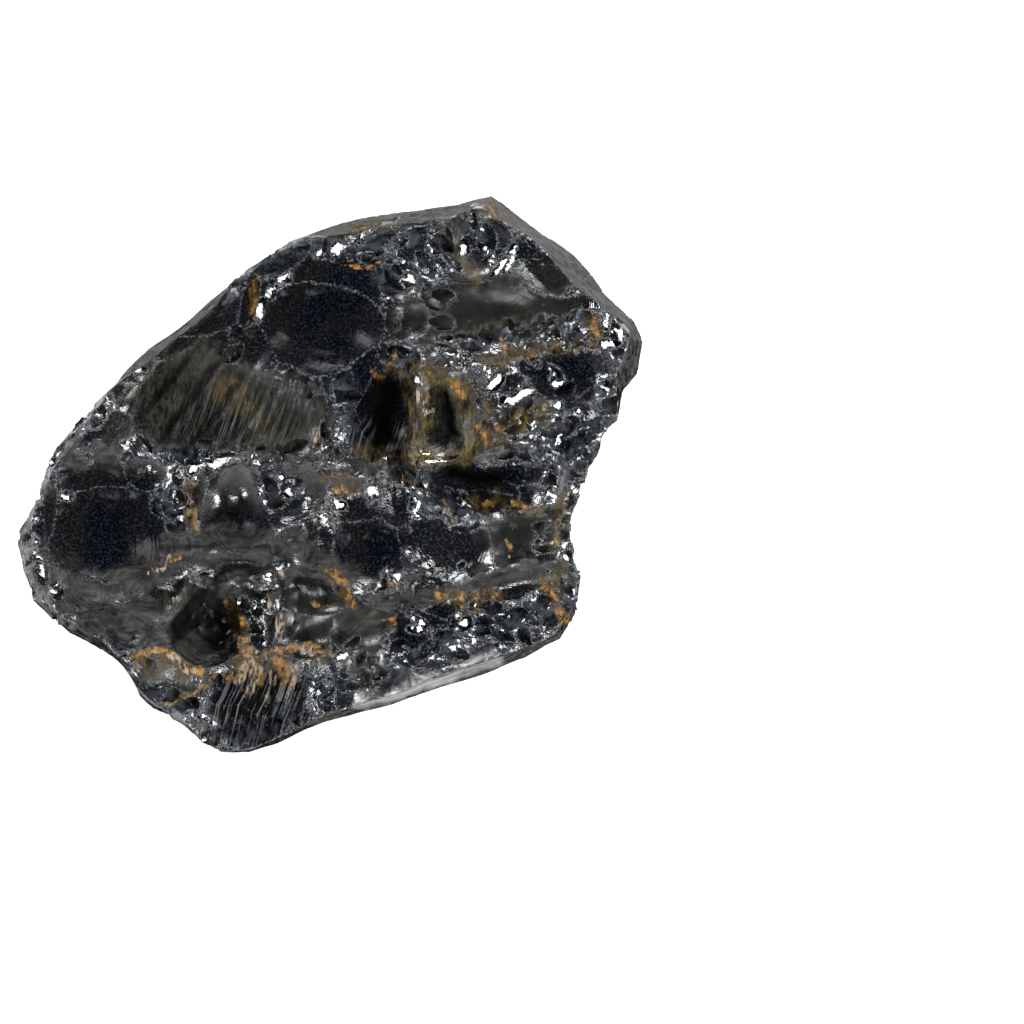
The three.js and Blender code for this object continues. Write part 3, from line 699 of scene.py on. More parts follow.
class Field:
    """How far each point of a grid lies outside the stone, and which cutter decides it (-1: block)."""

    def __init__(self, planes, step):
        self.planes = planes
        corners = np.array([*GIRDLE, (0, 0, 0), (0, 0, face_height_at(max(y for _, y, _ in BROW)))])
        low = corners.min(0) - GRID_MARGIN
        high = corners.max(0) + (GRID_MARGIN, GRID_MARGIN, GRID_HEADROOM)
        self.step = np.array([step, step, step * CELL_HEIGHT])
        self.lines = [np.arange(low[k], high[k], self.step[k]) for k in range(3)]
        self.origin = np.array([line[0] for line in self.lines])
        self.value = np.full([len(line) for line in self.lines], -np.inf, np.float32)
        self.cutter = np.full(self.value.shape, -1, np.int32)
        self.cutters = []
        x, y, z = np.meshgrid(*self.lines, indexing="ij", sparse=True)
        for normal, distance in zip(*planes):
            outside = normal[0] * x + normal[1] * y + normal[2] * z - distance
            np.maximum(self.value, outside.astype(np.float32), out=self.value)

    def cut(self, cutters):
        for cutter in cutters:
            low, high = cutter.box()
            ranges = [np.searchsorted(self.lines[k], (low[k], high[k])) for k in range(3)]
            window = tuple(slice(*ends) for ends in ranges)
            points = [self.lines[k][window[k]] for k in range(3)]
            depth = cutter.depth(np.stack(np.meshgrid(*points, indexing="ij"), -1)).astype(np.float32)
            deeper = depth > self.value[window]
            self.value[window][deeper] = depth[deeper]
            self.cutter[window][deeper] = len(self.cutters)
            self.cutters.append(cutter)

    def crossings(self, axis):
        """Where the surface crosses the grid lines along one axis."""
        inside = self.value < 0
        here, there = [slice(None)] * 3, [slice(None)] * 3
        here[axis], there[axis] = slice(0, -1), slice(1, None)
        start = np.argwhere(inside[tuple(here)] != inside[tuple(there)])
        end = start.copy()
        end[:, axis] += 1
        start_inside = inside[tuple(start.T)]
        outer = np.where(start_inside[:, None], end, start)
        cutter = self.cutter[tuple(outer.T)]
        a, b = self.origin + start * self.step, self.origin + end * self.step
        point, slope = np.empty_like(a), np.empty_like(a)
        block = cutter < 0
        point[block], slope[block] = self.block_crossing(a[block], b[block], start_inside[block])
        order = np.argsort(cutter, kind="stable")
        ranked = cutter[order]
        for index in np.unique(ranked[ranked >= 0]):
            rows = order[np.searchsorted(ranked, index):np.searchsorted(ranked, index, side="right")]
            point[rows], slope[rows] = cutter_crossing(self.cutters[index], a[rows], b[rows])
        return start, start_inside, cutter, point, slope

    def block_crossing(self, a, b, a_inside):
        normals, distances = self.planes
        outer = np.where(a_inside[:, None], b, a)
        nearest = np.argmax(outer @ normals.T - distances, 1)
        at_a = (a * normals[nearest]).sum(1) - distances[nearest]
        at_b = (b * normals[nearest]).sum(1) - distances[nearest]
        span = np.where(np.abs(at_a - at_b) < TINY, TINY, at_a - at_b)
        share = np.clip(at_a / span, 0, 1)
        return a + (b - a) * share[:, None], normals[nearest]


def cutter_crossing(cutter, a, b):
    """Where a cutter's surface crosses the lines from a to b, found by halving, and its slope."""
    low, high = np.zeros(len(a)), np.ones(len(a))
    a_inside = cutter.depth(a) < 0
    crosses = a_inside != (cutter.depth(b) < 0)
    for _ in range(HALVINGS):
        middle = (low + high) / 2
        same = (cutter.depth(a + (b - a) * middle[:, None]) < 0) == a_inside
        low, high = np.where(same, middle, low), np.where(same, high, middle)
    share = np.where(crosses, (low + high) / 2, 0.5)
    point = a + (b - a) * share[:, None]
    nudges = np.eye(3) * SLOPE_PROBE
    slope = np.stack([cutter.depth(point + nudge) - cutter.depth(point - nudge) for nudge in nudges], -1)
    return point, slope / np.maximum(np.linalg.norm(slope, axis=1, keepdims=True), TINY)


# ---------------------------------------------------------------- from the field to a surface


class Surface:
    """Points, four-sided faces, outward normals, and the lowest and highest cutter at each point."""

    def __init__(self, points, faces, normals, lowest, highest):
        self.points, self.faces, self.normals = points, faces, normals
        self.lowest, self.highest = lowest, highest

    def on_ridge(self):
        return self.lowest != self.highest

    def edges(self):
        return np.concatenate([self.faces[:, [k, (k + 1) % 4]] for k in range(4)])

    def averaged(self, values, rounds):
        """Each value blended with its neighbours' values."""
        start, end = self.edges().T
        for _ in range(rounds):
            shape = (-1,) + (1,) * (values.ndim - 1)
            total, count = np.zeros_like(values), np.zeros(len(values))
            np.add.at(total, start, values[end])
            np.add.at(total, end, values[start])
            np.add.at(count, start, 1)
            np.add.at(count, end, 1)
            values = (values + total / np.maximum(count, 1).reshape(shape)) / 2
        return values


def contour(field):
    """Dual contouring: one point for each grid cell that the surface passes through, set where the
    planes of the surface's crossings meet, so that ridges stay sharp."""
    cells_each_way = np.array(field.value.shape) - 1
    points, slopes, cells, cutters, faces = [], [], [], [], []
    for axis in range(3):
        start, start_inside, cutter, point, slope = field.crossings(axis)
        first, second = [k for k in range(3) if k != axis]
        around = []
        for step_first, step_second in ((-1, -1), (-1, 0), (0, 0), (0, -1)):
            cell = start.copy()
            cell[:, first] += step_first
            cell[:, second] += step_second
            around.append(np.ravel_multi_index(cell.T, cells_each_way))
        face = np.stack(around, 1)
        inward = ~start_inside if axis == 1 else start_inside
        face[inward] = face[inward, ::-1]
        faces.append(face)
        for cell in around:
            points.append(point)
            slopes.append(slope)
            cells.append(cell)
            cutters.append(cutter)
    points, slopes, cells, cutters, faces = map(np.concatenate, (points, slopes, cells, cutters, faces))
    used, owner = np.unique(cells, return_inverse=True)
    count = np.bincount(owner).astype(float)
    middle = np.stack([np.bincount(owner, points[:, k]) for k in range(3)], 1) / count[:, None]
    normal = np.stack([np.bincount(owner, slopes[:, k]) for k in range(3)], 1)
    offset = (slopes * (points - middle[owner])).sum(1)
    matrix, target = np.empty((len(used), 3, 3)), np.empty((len(used), 3))
    for j in range(3):
        target[:, j] = np.bincount(owner, slopes[:, j] * offset)
        for k in range(3):
            matrix[:, j, k] = np.bincount(owner, slopes[:, j] * slopes[:, k])
    fitted = middle + np.linalg.solve(matrix + np.eye(3) * POINT_HOLD, target[..., None])[..., 0]
    corner = field.origin + np.stack(np.unravel_index(used, cells_each_way), 1) * field.step
    fitted = np.clip(fitted, corner + CELL_WALL * field.step, corner + (1 - CELL_WALL) * field.step)
    lowest, highest = np.full(len(used), len(field.cutters)), np.full(len(used), -1)
    np.minimum.at(lowest, owner, cutters)
    np.maximum.at(highest, owner, cutters)
    normal /= np.maximum(np.linalg.norm(normal, axis=1, keepdims=True), TINY)
    return largest_body(Surface(fitted, np.searchsorted(used, faces), normal, lowest, highest))


def largest_body(surface):
    """The surface without the crumbs that the cuts set free."""
    label = np.arange(len(surface.points))
    start, end = surface.edges().T
    while True:
        lowest = label.copy()
        np.minimum.at(lowest, start, label[end])
        np.minimum.at(lowest, end, label[start])
        lowest = lowest[lowest]
        if (lowest == label).all():
            break
        label = lowest
    kept = label == np.bincount(label).argmax()
    number = np.cumsum(kept) - 1
    faces = number[surface.faces[kept[surface.faces[:, 0]]]]
    return Surface(surface.points[kept], faces, surface.normals[kept],
                   surface.lowest[kept], surface.highest[kept])


# ---------------------------------------------------------------- marks


def face_plane_place(points):
    """Where each point shows on the face's plane, seen from the side that the face leans to."""
    below = points[:, 2] - face_height_at(points[:, 1])
    return np.stack([points[:, 0], points[:, 1] + SIGHT_SLOPE * below], 1)


def stroke_weight(places, half_width, path):
    """One on a stroke's line, falling to nothing at five thirds of its half width."""
    distance = np.full(len(places), np.inf)
    for a, b in zip(np.array(path[:-1]), np.array(path[1:])):
        share = np.clip((places - a) @ (b - a) / ((b - a) @ (b - a)), 0, 1)
        nearest = a + share[:, None] * (b - a)
        distance = np.minimum(distance, np.hypot(*(places - nearest).T))
    return np.clip(STROKE_CORE - STROKE_FALL * distance / half_width, 0, 1)


def wandering(places):
    """Places pushed about a little, so that no mark keeps a straight edge."""
    rng = np.random.default_rng(WANDER_SEED)
    shift = np.zeros_like(places)
    for wavelength, reach in MARK_WANDER:
        for _ in range(MARK_WAVES):
            turned = rng.uniform(0, 2 * math.pi)
            wave = np.array([math.cos(turned), math.sin(turned)]) * 2 * math.pi / wavelength
            swing = np.sin(places @ wave + rng.uniform(0, 2 * math.pi))
            shift += swing[:, None] * rng.normal(size=2) * reach / math.sqrt(MARK_WAVES)
    return places + shift


def mark_weight(points, kind):
    """How strongly a kind of mark shows at each point, from 0 to 1."""
    places = wandering(face_plane_place(points))
    on_top = np.clip((points[:, 2] - SPLINTERED_ABOVE) / MARK_FADE, 0, 1)
    return np.max([stroke_weight(places, *stroke) for stroke in MARKS[kind]], axis=0) * on_top


# ---------------------------------------------------------------- fine form


def direction_at(azimuth, elevation):
    azimuth, elevation = math.radians(azimuth), math.radians(elevation)
    level = math.cos(elevation)
    return np.array([level * math.cos(azimuth), level * math.sin(azimuth), math.sin(elevation)])


def frame_around(normal, side):
    """A frame whose third axis is the normal, and whose first axis is square to a side direction."""
    along = np.cross(side, normal)
    along /= np.linalg.norm(along)
    return np.stack([along, np.cross(normal, along), normal], 1)


def near(normal, spread, rng):
    """A direction close to a normal."""
    direction = normal + rng.normal(0, spread, 3)
    return direction / np.linalg.norm(direction)


def splinter_ground(surface, least):
    """Where the ground is rough, and how freely splinters break off: from 1 to the least on glass."""
    rough, glassy = (mark_weight(surface.points, kind) for kind in ("rough", "glassy"))
    return rough, np.clip(1 - GLASS_GUARD * glassy, least, 1)


def chosen(rng, weight, count):
    """Some of the surface's points at random, by their weight."""
    return rng.choice(len(weight), size=count, replace=False, p=weight / weight.sum())


def notches(surface):
    """The notches, placed at random."""
    rng = np.random.default_rng(NOTCH_SEED)
    rough, free = splinter_ground(surface, LEAST_SPLINTERS)
    open_to_sky = (surface.points[:, 2] > SPLINTERED_ABOVE) & (surface.normals[:, 2] > OVERHANG)
    cutters = []
    for count, elsewhere, on_ridges, (shallow, deep), slopes in NOTCHES:
        weight = np.where(open_to_sky, rough + elsewhere * free, 0)
        if on_ridges:
            weight = np.where(surface.on_ridge(), weight, 0)
        for index in chosen(rng, weight, count):
            normal = near(surface.normals[index], NOTCH_TILT, rng)
            frame = frame_around(normal, rng.normal(size=3))
            depth = shallow + (deep - shallow) * rng.random() ** 2
            turns = np.cumsum(rng.uniform(*NOTCH_TURNS, 3)) * math.pi / 180
            slope = np.radians(rng.uniform(*slopes, 3))
            level = np.sin(slope)
            sides = np.stack([np.cos(turns) * level, np.sin(turns) * level, np.cos(slope)], 1)
            cutters.append(Notch(surface.points[index] - normal * depth, sides @ frame.T))
    return cutters


def mirror_normals():
    """For each lamp, how a facet has to face to send its light to the camera."""
    to_camera = direction_at(-90, CAMERA_ELEVATION)
    halfway = [direction_at(azimuth, elevation) + to_camera for _, azimuth, elevation, *_ in LAMPS]
    return np.array([direction / np.linalg.norm(direction) for direction in halfway])


def before_bending(point, normal):
    """The direction that the bends turn into a given normal."""
    nudges = np.eye(3) * BEND_PROBE
    direction = (bent(point + nudges) - bent(point - nudges)) @ normal
    return direction / np.linalg.norm(direction)


def facets(surface):
    """The facets, each tilted to send the nearest lamp's light to the camera."""
    mirrors = mirror_normals()
    slopes = surface.averaged(surface.normals, SLOPE_ROUNDS)
    facing_up = slopes[:, 2] > FACET_UPRIGHT
    points, slopes = surface.points[facing_up], slopes[facing_up]
    places = face_plane_place(points)
    cutters = []
    for x, y, length, width, direction in FACETS:
        index = np.hypot(*(places - (x, y)).T).argmin()
        match = mirrors @ slopes[index]
        normal = before_bending(points[index], mirrors[match.argmax()])
        depth = FACET_DEPTH + width * FACET_SINK * math.sqrt(max(1 - match.max() ** 2, 0))
        radii = length, width, FACET_HEIGHT + width
        cutters.append(Facet(points[index] - normal * depth, radii, normal, direction))
    return cutters


def glints(surface):
    """Small facets at random, where the stone leans towards a lamp's light already."""
    rng = np.random.default_rng(GLINT_SEED)
    mirrors = mirror_normals()
    slopes = surface.averaged(surface.normals, SLOPE_ROUNDS)
    match = slopes @ mirrors.T / np.linalg.norm(slopes, axis=1, keepdims=True)
    rough, free = splinter_ground(surface, 0)
    weight = (rough + GLINTS_ON_RIDGES * surface.on_ridge() + GLINTS_ELSEWHERE) * free
    leans_right = match.max(1) > math.cos(math.radians(GLINT_LEAN))
    weight *= leans_right & (surface.points[:, 2] > SPLINTERED_ABOVE)
    cutters = []
    for index in chosen(rng, weight, GLINTS):
        normal = before_bending(surface.points[index], mirrors[match[index].argmax()])
        radii = rng.uniform(*GLINT_LENGTHS), rng.uniform(*GLINT_WIDTHS), GLINT_HEIGHT
        point = surface.points[index] - normal * GLINT_DEPTH
        cutters.append(Facet(point, radii, normal, rng.uniform(0, 360)))
    return cutters


def small_cutters(planes, scars):
    """The notches and facets, placed on a coarse sketch of the scarred stone."""
    sketch = Field(planes, SKETCH_STEP)
    sketch.cut(scars)
    surface = contour(sketch)
    return notches(surface) + glints(surface) + facets(surface)


def bent(points):
    """The points, pushed along by the slow bends."""
    strength = np.clip(points[:, 2:] / FULL_BEND_HEIGHT, 0, 1)
    shift = np.zeros_like(points)
    for wave, phase, push in BENDS:
        shift += np.sin(points @ np.array(wave) + phase)[:, None] * np.array(push)
    return points + shift * strength


def unevenness(points):
    """A gentle random relief, made of waves that run in all directions."""
    rng = np.random.default_rng(UNEVEN_SEED)
    height = np.zeros(len(points))
    for count, wavelength, amplitude in UNEVENNESS:
        for _ in range(count):
            direction = rng.normal(size=3)
            direction /= np.linalg.norm(direction)
            wave = direction * 2 * math.pi / (wavelength * rng.uniform(*WAVELENGTH_SPREAD))
            height += np.sin(points @ wave + rng.uniform(0, 2 * math.pi)) * amplitude / math.sqrt(count)
    return height


def ripple_depth(points):
    """How far the ripples of the scars sink in."""
    places = face_plane_place(points)
    depth = np.zeros(len(points))
    for x, y, reach, across, wavelength, full_depth in RIPPLES:
        offset = places - (x, y)
        distance = np.hypot(*offset.T)
        if across is None:
            run = distance
        else:
            run = offset @ (math.cos(math.radians(across)), math.sin(math.radians(across)))
        fade = np.clip(RIPPLE_FADE * (1 - distance / reach), 0, 1)
        rise = run / wavelength % 1
        depth += full_depth * fade * np.minimum(rise / RIPPLE_RISE, (1 - rise) / (1 - RIPPLE_RISE))
    return depth


def rib_places(surface, scars):
    """How far each place lies from where its scar started, in which direction, and its ribs' depth."""
    rng = np.random.default_rng(RIB_SEED)
    rib, ray = surface.points[:, 2].copy(), surface.points[:, :2].sum(1) / RAY_LENGTH
    depth = np.zeros(len(surface.points))
    for index, scar in enumerate(scars):
        wave = rng.uniform(*RIB_WAVES)
        full_depth = RIB_DEPTH * rng.random() * wave / RIB_WAVES[1]
        cut = surface.highest == index
        offset = surface.points[cut] - scar.point + scar.frame[:, 0] * scar.half[0]
        rib[cut] = np.linalg.norm(offset, axis=1)
        ray[cut] = np.arctan2(offset[:, 1], offset[:, 0])
        depth[cut] = full_depth * np.abs(np.sin(math.pi * rib[cut] / wave))
    return rib, ray, depth


def stone_surface():
    """The stone's whole surface in millimetres, and the weight of each mark at its points."""
    planes = block_planes()
    scars = main_scars()
    field = Field(planes, GRID_STEP)
    cutters = scars + small_cutters(planes, scars)
    field.cut(cutters)
    surface = contour(field)
    marks = {kind: mark_weight(surface.points, kind) for kind in MARKS}
    # The dull skin rounds the ridges that it covers.
    rounded = surface.averaged(surface.points, 1)
    surface.points += (rounded - surface.points) * marks["dull"][:, None]
    is_facet = surface.highest >= len(cutters) - len(FACETS) - GLINTS
    marks["facet"] = surface.averaged(is_facet.astype(float), 1)
    for kind in ("rough", "dull", "ochre", "crust"):
        marks[kind] *= 1 - marks["facet"]
    marks["rib"], marks["ray"], ribs = rib_places(surface, scars)
    ripples = ripple_depth(surface.points) + ribs * (1 - RIBS_OFF_GLASS * marks["glassy"])
    marks["trough"] = ripples / FULL_TROUGH
    lift = unevenness(surface.points) * (1 + UNEVEN_ROUGH * marks["rough"] - UNEVEN_FACET * marks["facet"])
    lift -= SUNK_BY + ripples * (1 - marks["facet"])
    clear_of_foot = np.clip(surface.points[:, 2], 0, 1)
    flank = (surface.highest < 0) | np.isin(surface.highest, range(len(FACE_SCARS), len(scars)))
    marks["raw"] = surface.averaged(flank.astype(float), RAW_ROUNDS) * (1 - marks["fresh"])
    # Ridges, painted lighter in the material: partly wear, partly a painted highlight along the edges.
    marks["worn_and_highlit"] = surface.averaged(surface.on_ridge().astype(float), 1)
    smoothed = surface.averaged(surface.points, HOLLOW_ROUNDS)
    marks["steep"] = 1 - surface.normals[:, 2]
    marks["hollow"] = ((smoothed - surface.points) * surface.normals).sum(1) / FULL_HOLLOW
    surface.points = bent(surface.points) + surface.normals * (lift * clear_of_foot)[:, None]
    surface.points[:, 2] = np.maximum(surface.points[:, 2], 0)
    return surface, marks


def add_mesh(name, points, faces):
    mesh = bpy.data.meshes.new(name)
    mesh.from_pydata(points.tolist(), [], faces.tolist())
    mesh.update()
    piece = bpy.data.objects.new(name, mesh)
    bpy.context.scene.collection.objects.link(piece)
    return piece


# ---------------------------------------------------------------- the stone's material


class Value:
    """What a node puts out. Arithmetic with it adds further nodes to its tree."""

    def __init__(self, tree, socket):
        self.tree, self.socket = tree, socket

    def math(self, operation, other):
        return add_node(self.tree, "ShaderNodeMath", 0, {0: self, 1: other}, operation=operation)

    def __add__(self, other):
        return self.math("ADD", other)

    def __sub__(self, other):
        return self.math("SUBTRACT", other)

    def __mul__(self, other):
        return self.math("MULTIPLY", other)

    def __or__(self, other):
        """The larger of the two."""
        return self.math("MAXIMUM", other)

    def vector(self, operation, other=(0, 0, 0)):
        return add_node(self.tree, "ShaderNodeVectorMath", 0, {0: self, 1: other}, operation=operation)

    def step(self, low, high, to_low=0.0, to_high=1.0):
        """A smooth rise from to_low to to_high, while the value goes from low to high."""
        ends = {"From Min": low, "From Max": high, "To Min": to_low, "To Max": to_high}
        return add_node(self.tree, "ShaderNodeMapRange", "Result", {"Value": self, **ends},
                        interpolation_type="SMOOTHSTEP")

    def between(self, a, b):
        """From the number a to the number b, while the value goes from 0 to 1."""
        return add_node(self.tree, "ShaderNodeMix", 0, {"Factor": self, 2: a, 3: b}, data_type="FLOAT")

    def blend(self, a, b):
        """From the colour a to the colour b, while the value goes from 0 to 1."""
        a, b = ((*colour, 1.0) if isinstance(colour, tuple) else colour for colour in (a, b))
        return add_node(self.tree, "ShaderNodeMix", 2, {"Factor": self, 6: a, 7: b}, data_type="RGBA")

    def bump(self, distance, normal=None):
        """The normal that the value bends as relief, with a distance in millimetres from 0 to 1."""
        inputs = {"Distance": distance * MILLIMETRE, "Height": self}
        if normal is not None:
            inputs["Normal"] = normal
        return add_node(self.tree, "ShaderNodeBump", "Normal", inputs)


def add_node(tree, kind, output, inputs, **settings):
    """Adds a node with its settings and inputs, and gives one of its outputs."""
    node = tree.nodes.new(kind)
    for name, setting in settings.items():
        setattr(node, name, setting)
    for name, value in inputs.items():
        set_input(node.inputs[name], value)
    return Value(tree, node.outputs[output])


def set_input(socket, value):
    if isinstance(value, Value):
        value.tree.links.new(value.socket, socket)
    else:
        socket.default_value = value


class Stonework:
    """The places, noises and marks of the stone, as values of its material."""

    def __init__(self, tree):
        self.tree = tree

    def mark(self, kind):
        return add_node(self.tree, "ShaderNodeAttribute", "Fac", {}, attribute_name=kind)

    def place(self, stretch=(1, 1, 1), spin=0.0):
        """The place on the stone, in millimetres, spun by some degrees and stretched along each axis."""
        place = add_node(self.tree, "ShaderNodeTexCoord", "Object", {})
        inputs = {"Vector": place, "Scale": [MILLIMETRE / s for s in stretch]}
        inputs["Rotation"] = (0, 0, math.radians(spin))
        return add_node(self.tree, "ShaderNodeMapping", "Vector", inputs, vector_type="TEXTURE")

    def noise(self, scale, detail, roughness=0.5, stretch=(1, 1, 1), spin=0.0):
        """Noise from 0 to 1, with a scale in features per millimetre."""
        return self.noise_at(self.place(stretch, spin), scale, detail, roughness)

    def noise_at(self, place, scale, detail, roughness):
        inputs = {"Vector": place, "Scale": scale, "Detail": detail, "Roughness": roughness}
        return add_node(self.tree, "ShaderNodeTexNoise", "Fac", inputs)

    def fibre(self, across, along):
        """Noise in thin lines that run along one value."""
        place = add_node(self.tree, "ShaderNodeCombineXYZ", "Vector", {"X": across, "Y": along})
        return self.noise_at(place, 1.0, 3, 0.6)

    def patch(self, kind, noise, spread, low, high):
        """Where a mark shows: its stroke, broken up by noise."""
        return (self.mark(kind) * ((noise - 0.5) * spread + PATCH_CORE)).step(low, high)

    def tilted(self, normal, stretch, scale, share):
        """Splits the surface into specks and tilts each of them at random, by a share."""
        inputs = {"Vector": self.place(stretch), "Scale": scale}
        speck = add_node(self.tree, "ShaderNodeTexVoronoi", "Color", inputs)
        tilt = speck.vector("SUBTRACT", (0.5, 0.5, 0.5)).vector("MULTIPLY", share)
        return normal.vector("ADD", tilt).vector("NORMALIZE")


def stone_material():
    material = bpy.data.materials.new("noble_shungite")
    material.use_nodes = True
    stone = Stonework(material.node_tree)
    mark, noise, patch = stone.mark, stone.noise, stone.patch

    broad = noise(0.3, 2)
    mottle = noise(1.6, 4, 0.6)
    grain = noise(7.0, 4, 0.65)
    speckle = noise(2.6, 6, 0.75)
    veil = noise(1.1, 6, 0.75, (1.2, 0.6, 1.0))
    fibres = noise(3.2, 5, 0.7, (1.6, 0.45, 0.8))
    flecks = noise(4.5, 4, 0.7, (1, 1, 2.5))
    layers = noise(1.4, 5, 0.7, (0.25, 0.25, 3.2))
    swirls = noise(1.5, 5, 0.65, (0.5, 1.4, 1.0))
    grooves = noise(1.0, 2, 0.5, (9.0, 0.3, 0.3), -18)

    # The lines inside a scar: ribs ring the place where it started, and hackles run out from it.
    rib, ray = mark("rib"), mark("ray")
    lines = broad.step(0.46, 0.54).between(stone.fibre(rib * 4.5, ray), stone.fibre(ray * 12.0, rib))

    dull = patch("dull", mottle, 1.5, 0.15, 0.6) * 0.85
    satin = patch("satin", mottle, 0.8, 0.1, 0.6)
    olive = patch("olive", veil, 1.6, 0.1, 0.8) * 0.75
    rust = patch("rust", veil, 3.6, 0.3, 0.8) * 0.7
    ochre = patch("ochre", speckle, 3.4, 0.3, 0.62)
    gold = patch("gold", veil, 2.4, 0.2, 0.6) * 0.9
    crust = patch("crust", fibres, 4.0, 0.3, 0.65)
    raw = (mark("raw") + (mottle - 0.5) * 1.8).step(0.3, 0.7)
    ruled, streaky, pit = mark("ruled"), mark("streaky"), mark("pit")
    rough, facet, glassy = mark("rough"), mark("facet"), mark("glassy")
    smooth = glassy | facet
    film = dull | olive
    # The grooves' bottoms are painted black as painted shade, and the crests between them light grey as a
    # painted highlight.
    grooved = ruled * grooves.step(0.42, 0.56)
    fins = ruled * grooves.step(0.46, 0.38) * film.between(0.6, 0.0)
    dust = noise(9.0, 2, 0.6).step(0.70, 0.76) * veil.step(0.42, 0.62)
    # Ridges painted light grey: partly wear, partly a painted highlight along the edges.
    worn_and_highlit = (mark("worn_and_highlit") - rough * 0.6).step(0.2, 0.8) * grain.step(0.45, 0.65)
    # Hollows are painted darker below, as painted shade.
    hollow, crest = mark("hollow").step(0.0, 1.0), mark("hollow").step(-0.1, -1.2)
    trough = mark("trough").step(0.45, 0.9) * 0.9
    shards = noise(1.7, 3, 0.6).step(0.4, 0.62)
    waxy = lines * 0.55 + swirls * 0.45
    weathered = (flecks + (speckle + mottle)).step(1.25, 1.75)
    still = (glassy - mark("bright")).step(0.05, 0.35)
    steep = mark("steep").step(0.4, 0.8)
    polished = facet - satin

    stain = fibres.step(0.42, 0.6).blend(OCHRE, ORANGE)
    coats = (
        (grain.step(0.48, 0.64) * glassy.between(1.0, 0.45), CHARCOAL),
        (rough * shards, SHARD_GREY),
        (crest * (grain * 0.8), CREST_GREY),
        (satin, mottle.blend(SATIN_DARK, SATIN_LIGHT)),
        (dust, DUST),
        (worn_and_highlit, WORN_AND_HIGHLIT_GREY),
        (dull, waxy.step(0.40, 0.66).blend(DULL_DARK, DULL_LIGHT)),
        (olive, fibres.step(0.4, 0.62).blend(OLIVE_DARK, OLIVE_LIGHT)),
        (fins, WORN_AND_HIGHLIT_GREY),
        (raw, weathered.blend(RAW_DARK, RAW_LIGHT)),
        (streaky, layers.step(0.35, 0.65).blend(STREAK_DARK, STREAK_PAINTED_REFLECTION)),
        (rust, grain.blend(RUST_DARK, RUST_LIGHT)),
        (gold, fibres.step(0.45, 0.62).blend(GOLD_DARK, GOLD_LIGHT)),
        (ochre, grain.step(0.56, 0.68).blend(stain, CRUST_PINK)),
        (crust, fibres.step(0.35, 0.7).blend(CRUST_PINK, CRUST_PALE)),
        # Painted shade: ripple troughs and grooves, then pits and hollows, are painted black.
        (trough | grooved * 0.85, PAINTED_SHADE_BLACK),
        (pit | hollow * 0.45, PAINTED_SHADE_BLACK),
    )
    colour = broad.step(0.4, 0.6).blend(BLUE_BLACK, WARM_BLACK)
    for share, coat in coats:
        colour = share.blend(colour, coat)

    roughness = mottle.step(0.35, 0.7, 0.06, 0.2)
    for share, value in ((satin, 0.3), (worn_and_highlit, 0.3), (dull, 0.5), (olive, 0.42), (rust, 0.35), (raw, 0.6),
                         (streaky, 0.35), (gold, 0.45), (ochre, 0.55), (crust, 0.8), (pit, 0.3),
                         (polished, 0.08)):
        roughness = share.between(roughness, value)
    shine = hollow.between(0.5, 0.2)
    for share, value in ((still, 0.015), (satin, 0.3), (dull, 0.06), (olive, 0.12), (rust, 0.2),
                         (gold, 0.2), (raw, 0.1), (steep, 0.0), (streaky, 0.5), (pit, 0.0),
                         (polished, 0.5)):
        shine = share.between(shine, value)

    # Relief, in millimetres.
    normal = None
    for relief, height in ((grain, 0.005), (lines * (smooth | satin).between(1.0, 0.3), 0.045),
                           (layers * raw, 0.2), (speckle * raw, 0.25), (grooved, -0.045),
                           ((crust | ochre) * fibres, 0.06)):
        normal = relief.bump(height, normal)
    calm = (rough | film * 0.35) - smooth
    for stretch, scale, tilt in (((1.6, 0.7, 1.6), 3.4, 0.12), ((0.7, 1.6, 1.6), 2.2, 0.36)):
        normal = stone.tilted(normal, stretch, scale, calm.step(-0.6, 1.0, 0.0, tilt))

    surface = material.node_tree.nodes["Principled BSDF"].inputs
    surface["IOR"].default_value = SHUNGITE_IOR
    for name, value in (("Base Color", colour), ("Roughness", roughness),
                        ("Specular IOR Level", shine), ("Normal", normal)):
        set_input(surface[name], value)
    return material


def add_stone():
    surface, marks = stone_surface()
    stone = add_mesh("broken_stone", surface.points * MILLIMETRE, surface.faces)
    mesh = stone.data
    for kind, weight in marks.items():
        mesh.attributes.new(kind, "FLOAT", "POINT").data.foreach_set("value", weight.astype(np.float32))
    mesh.shade_smooth()
    mesh.set_sharp_from_angle(angle=math.radians(SHARP_RIDGE))
    mesh.materials.append(stone_material())
    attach(stone, "root")
    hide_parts(NODE)


# ---------------------------------------------------------------- camera, floor and light


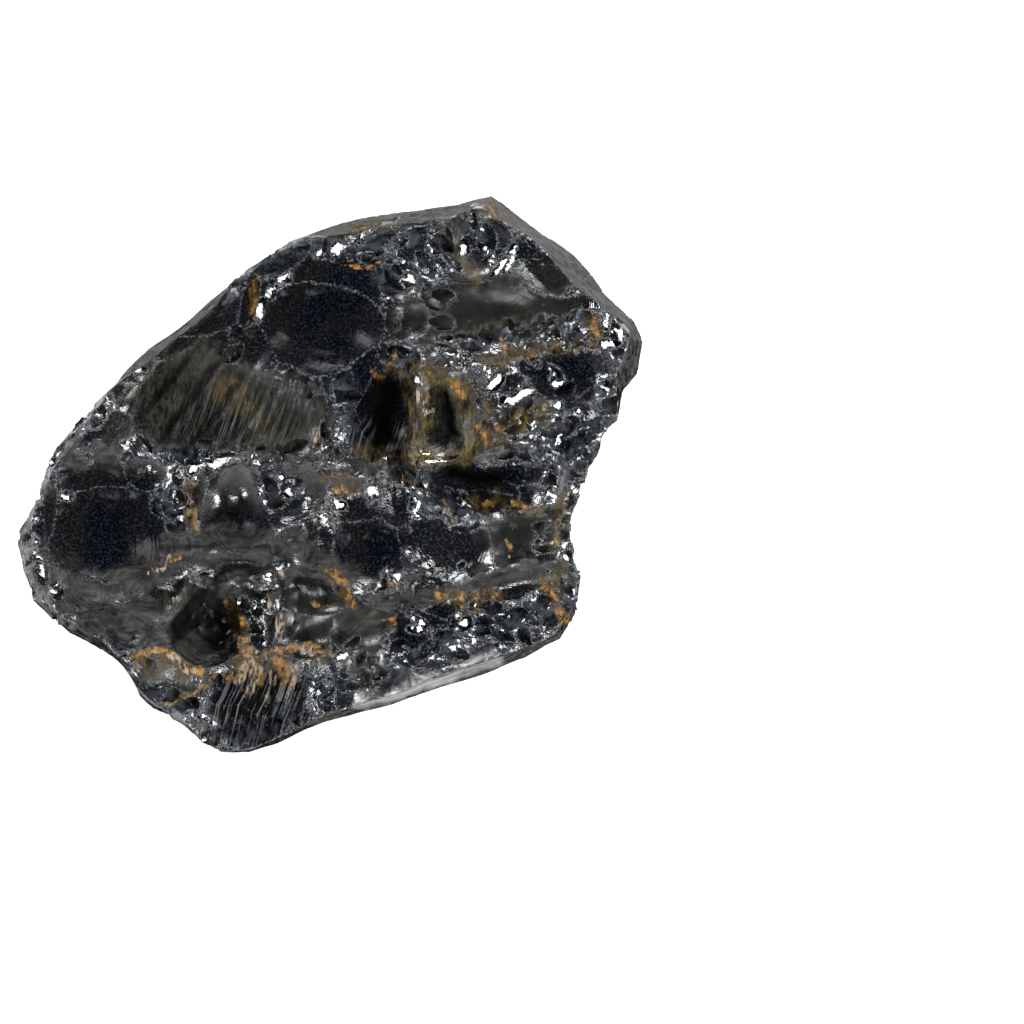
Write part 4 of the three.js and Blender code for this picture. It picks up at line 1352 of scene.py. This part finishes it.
def add_camera():
    view = math.radians(CAMERA_ELEVATION)
    camera = bpy.data.objects.new("camera", bpy.data.cameras.new("camera"))
    bpy.context.scene.collection.objects.link(camera)
    camera.location = Vector(CAMERA_TARGET) + CAMERA_DISTANCE * Vector((0, -math.cos(view), math.sin(view)))
    camera.rotation_euler = (math.pi / 2 - view, 0, 0)
    camera.data.sensor_width = SENSOR_WIDTH
    camera.data.lens = LENS
    camera.data.clip_start = CLIP_START
    bpy.context.scene.camera = camera


def add_floor():
    half = FLOOR_SIZE / 2
    corners = np.array([(-half, -half, 0), (half, -half, 0), (half, half, 0), (-half, half, 0)])
    floor = add_mesh("floor", corners - (0, 0, FLOOR_DROP), np.array([(0, 1, 2, 3)]))
    material = bpy.data.materials.new("pale_floor")
    material.use_nodes = True
    surface = material.node_tree.nodes["Principled BSDF"].inputs
    surface["Base Color"].default_value = (*[FLOOR_PALENESS] * 3, 1)
    surface["Roughness"].default_value = FLOOR_ROUGHNESS
    surface["Emission Color"].default_value = (1, 1, 1, 1)
    surface["Emission Strength"].default_value = FLOOR_GLOW
    floor.data.materials.append(material)


def add_lamp(name, azimuth, elevation, size, power):
    light = bpy.data.lights.new(name, "AREA")
    light.shape = "RECTANGLE"
    light.size, light.size_y = size
    light.energy = power
    light.color = LAMP_COLOUR
    lamp = bpy.data.objects.new(name, light)
    bpy.context.scene.collection.objects.link(lamp)
    towards = Vector(direction_at(azimuth, elevation))
    lamp.location = towards * LAMP_DISTANCE
    lamp.rotation_euler = towards.to_track_quat("Z", "Y").to_euler()


def add_surroundings():
    """A studio with pale walls and a dark ceiling."""
    world = bpy.data.worlds.new("studio")
    bpy.context.scene.world = world
    world.use_nodes = True
    tree = world.node_tree
    direction = add_node(tree, "ShaderNodeTexCoord", "Generated", {})
    height = add_node(tree, "ShaderNodeSeparateXYZ", "Z", {"Vector": direction})
    background = tree.nodes["Background"].inputs
    set_input(background["Strength"], height.step(WALL_FOOT, WALL_TOP, WALL_LIGHT, CEILING_LIGHT))
    set_input(background["Color"], (1, 1, 1, 1))


bpy.context.scene.view_settings.view_transform = "Standard"
add_camera()
add_floor()
add_surroundings()
for lamp in (*LAMPS, SHEEN_LAMP):
    add_lamp(*lamp)
add_stone()
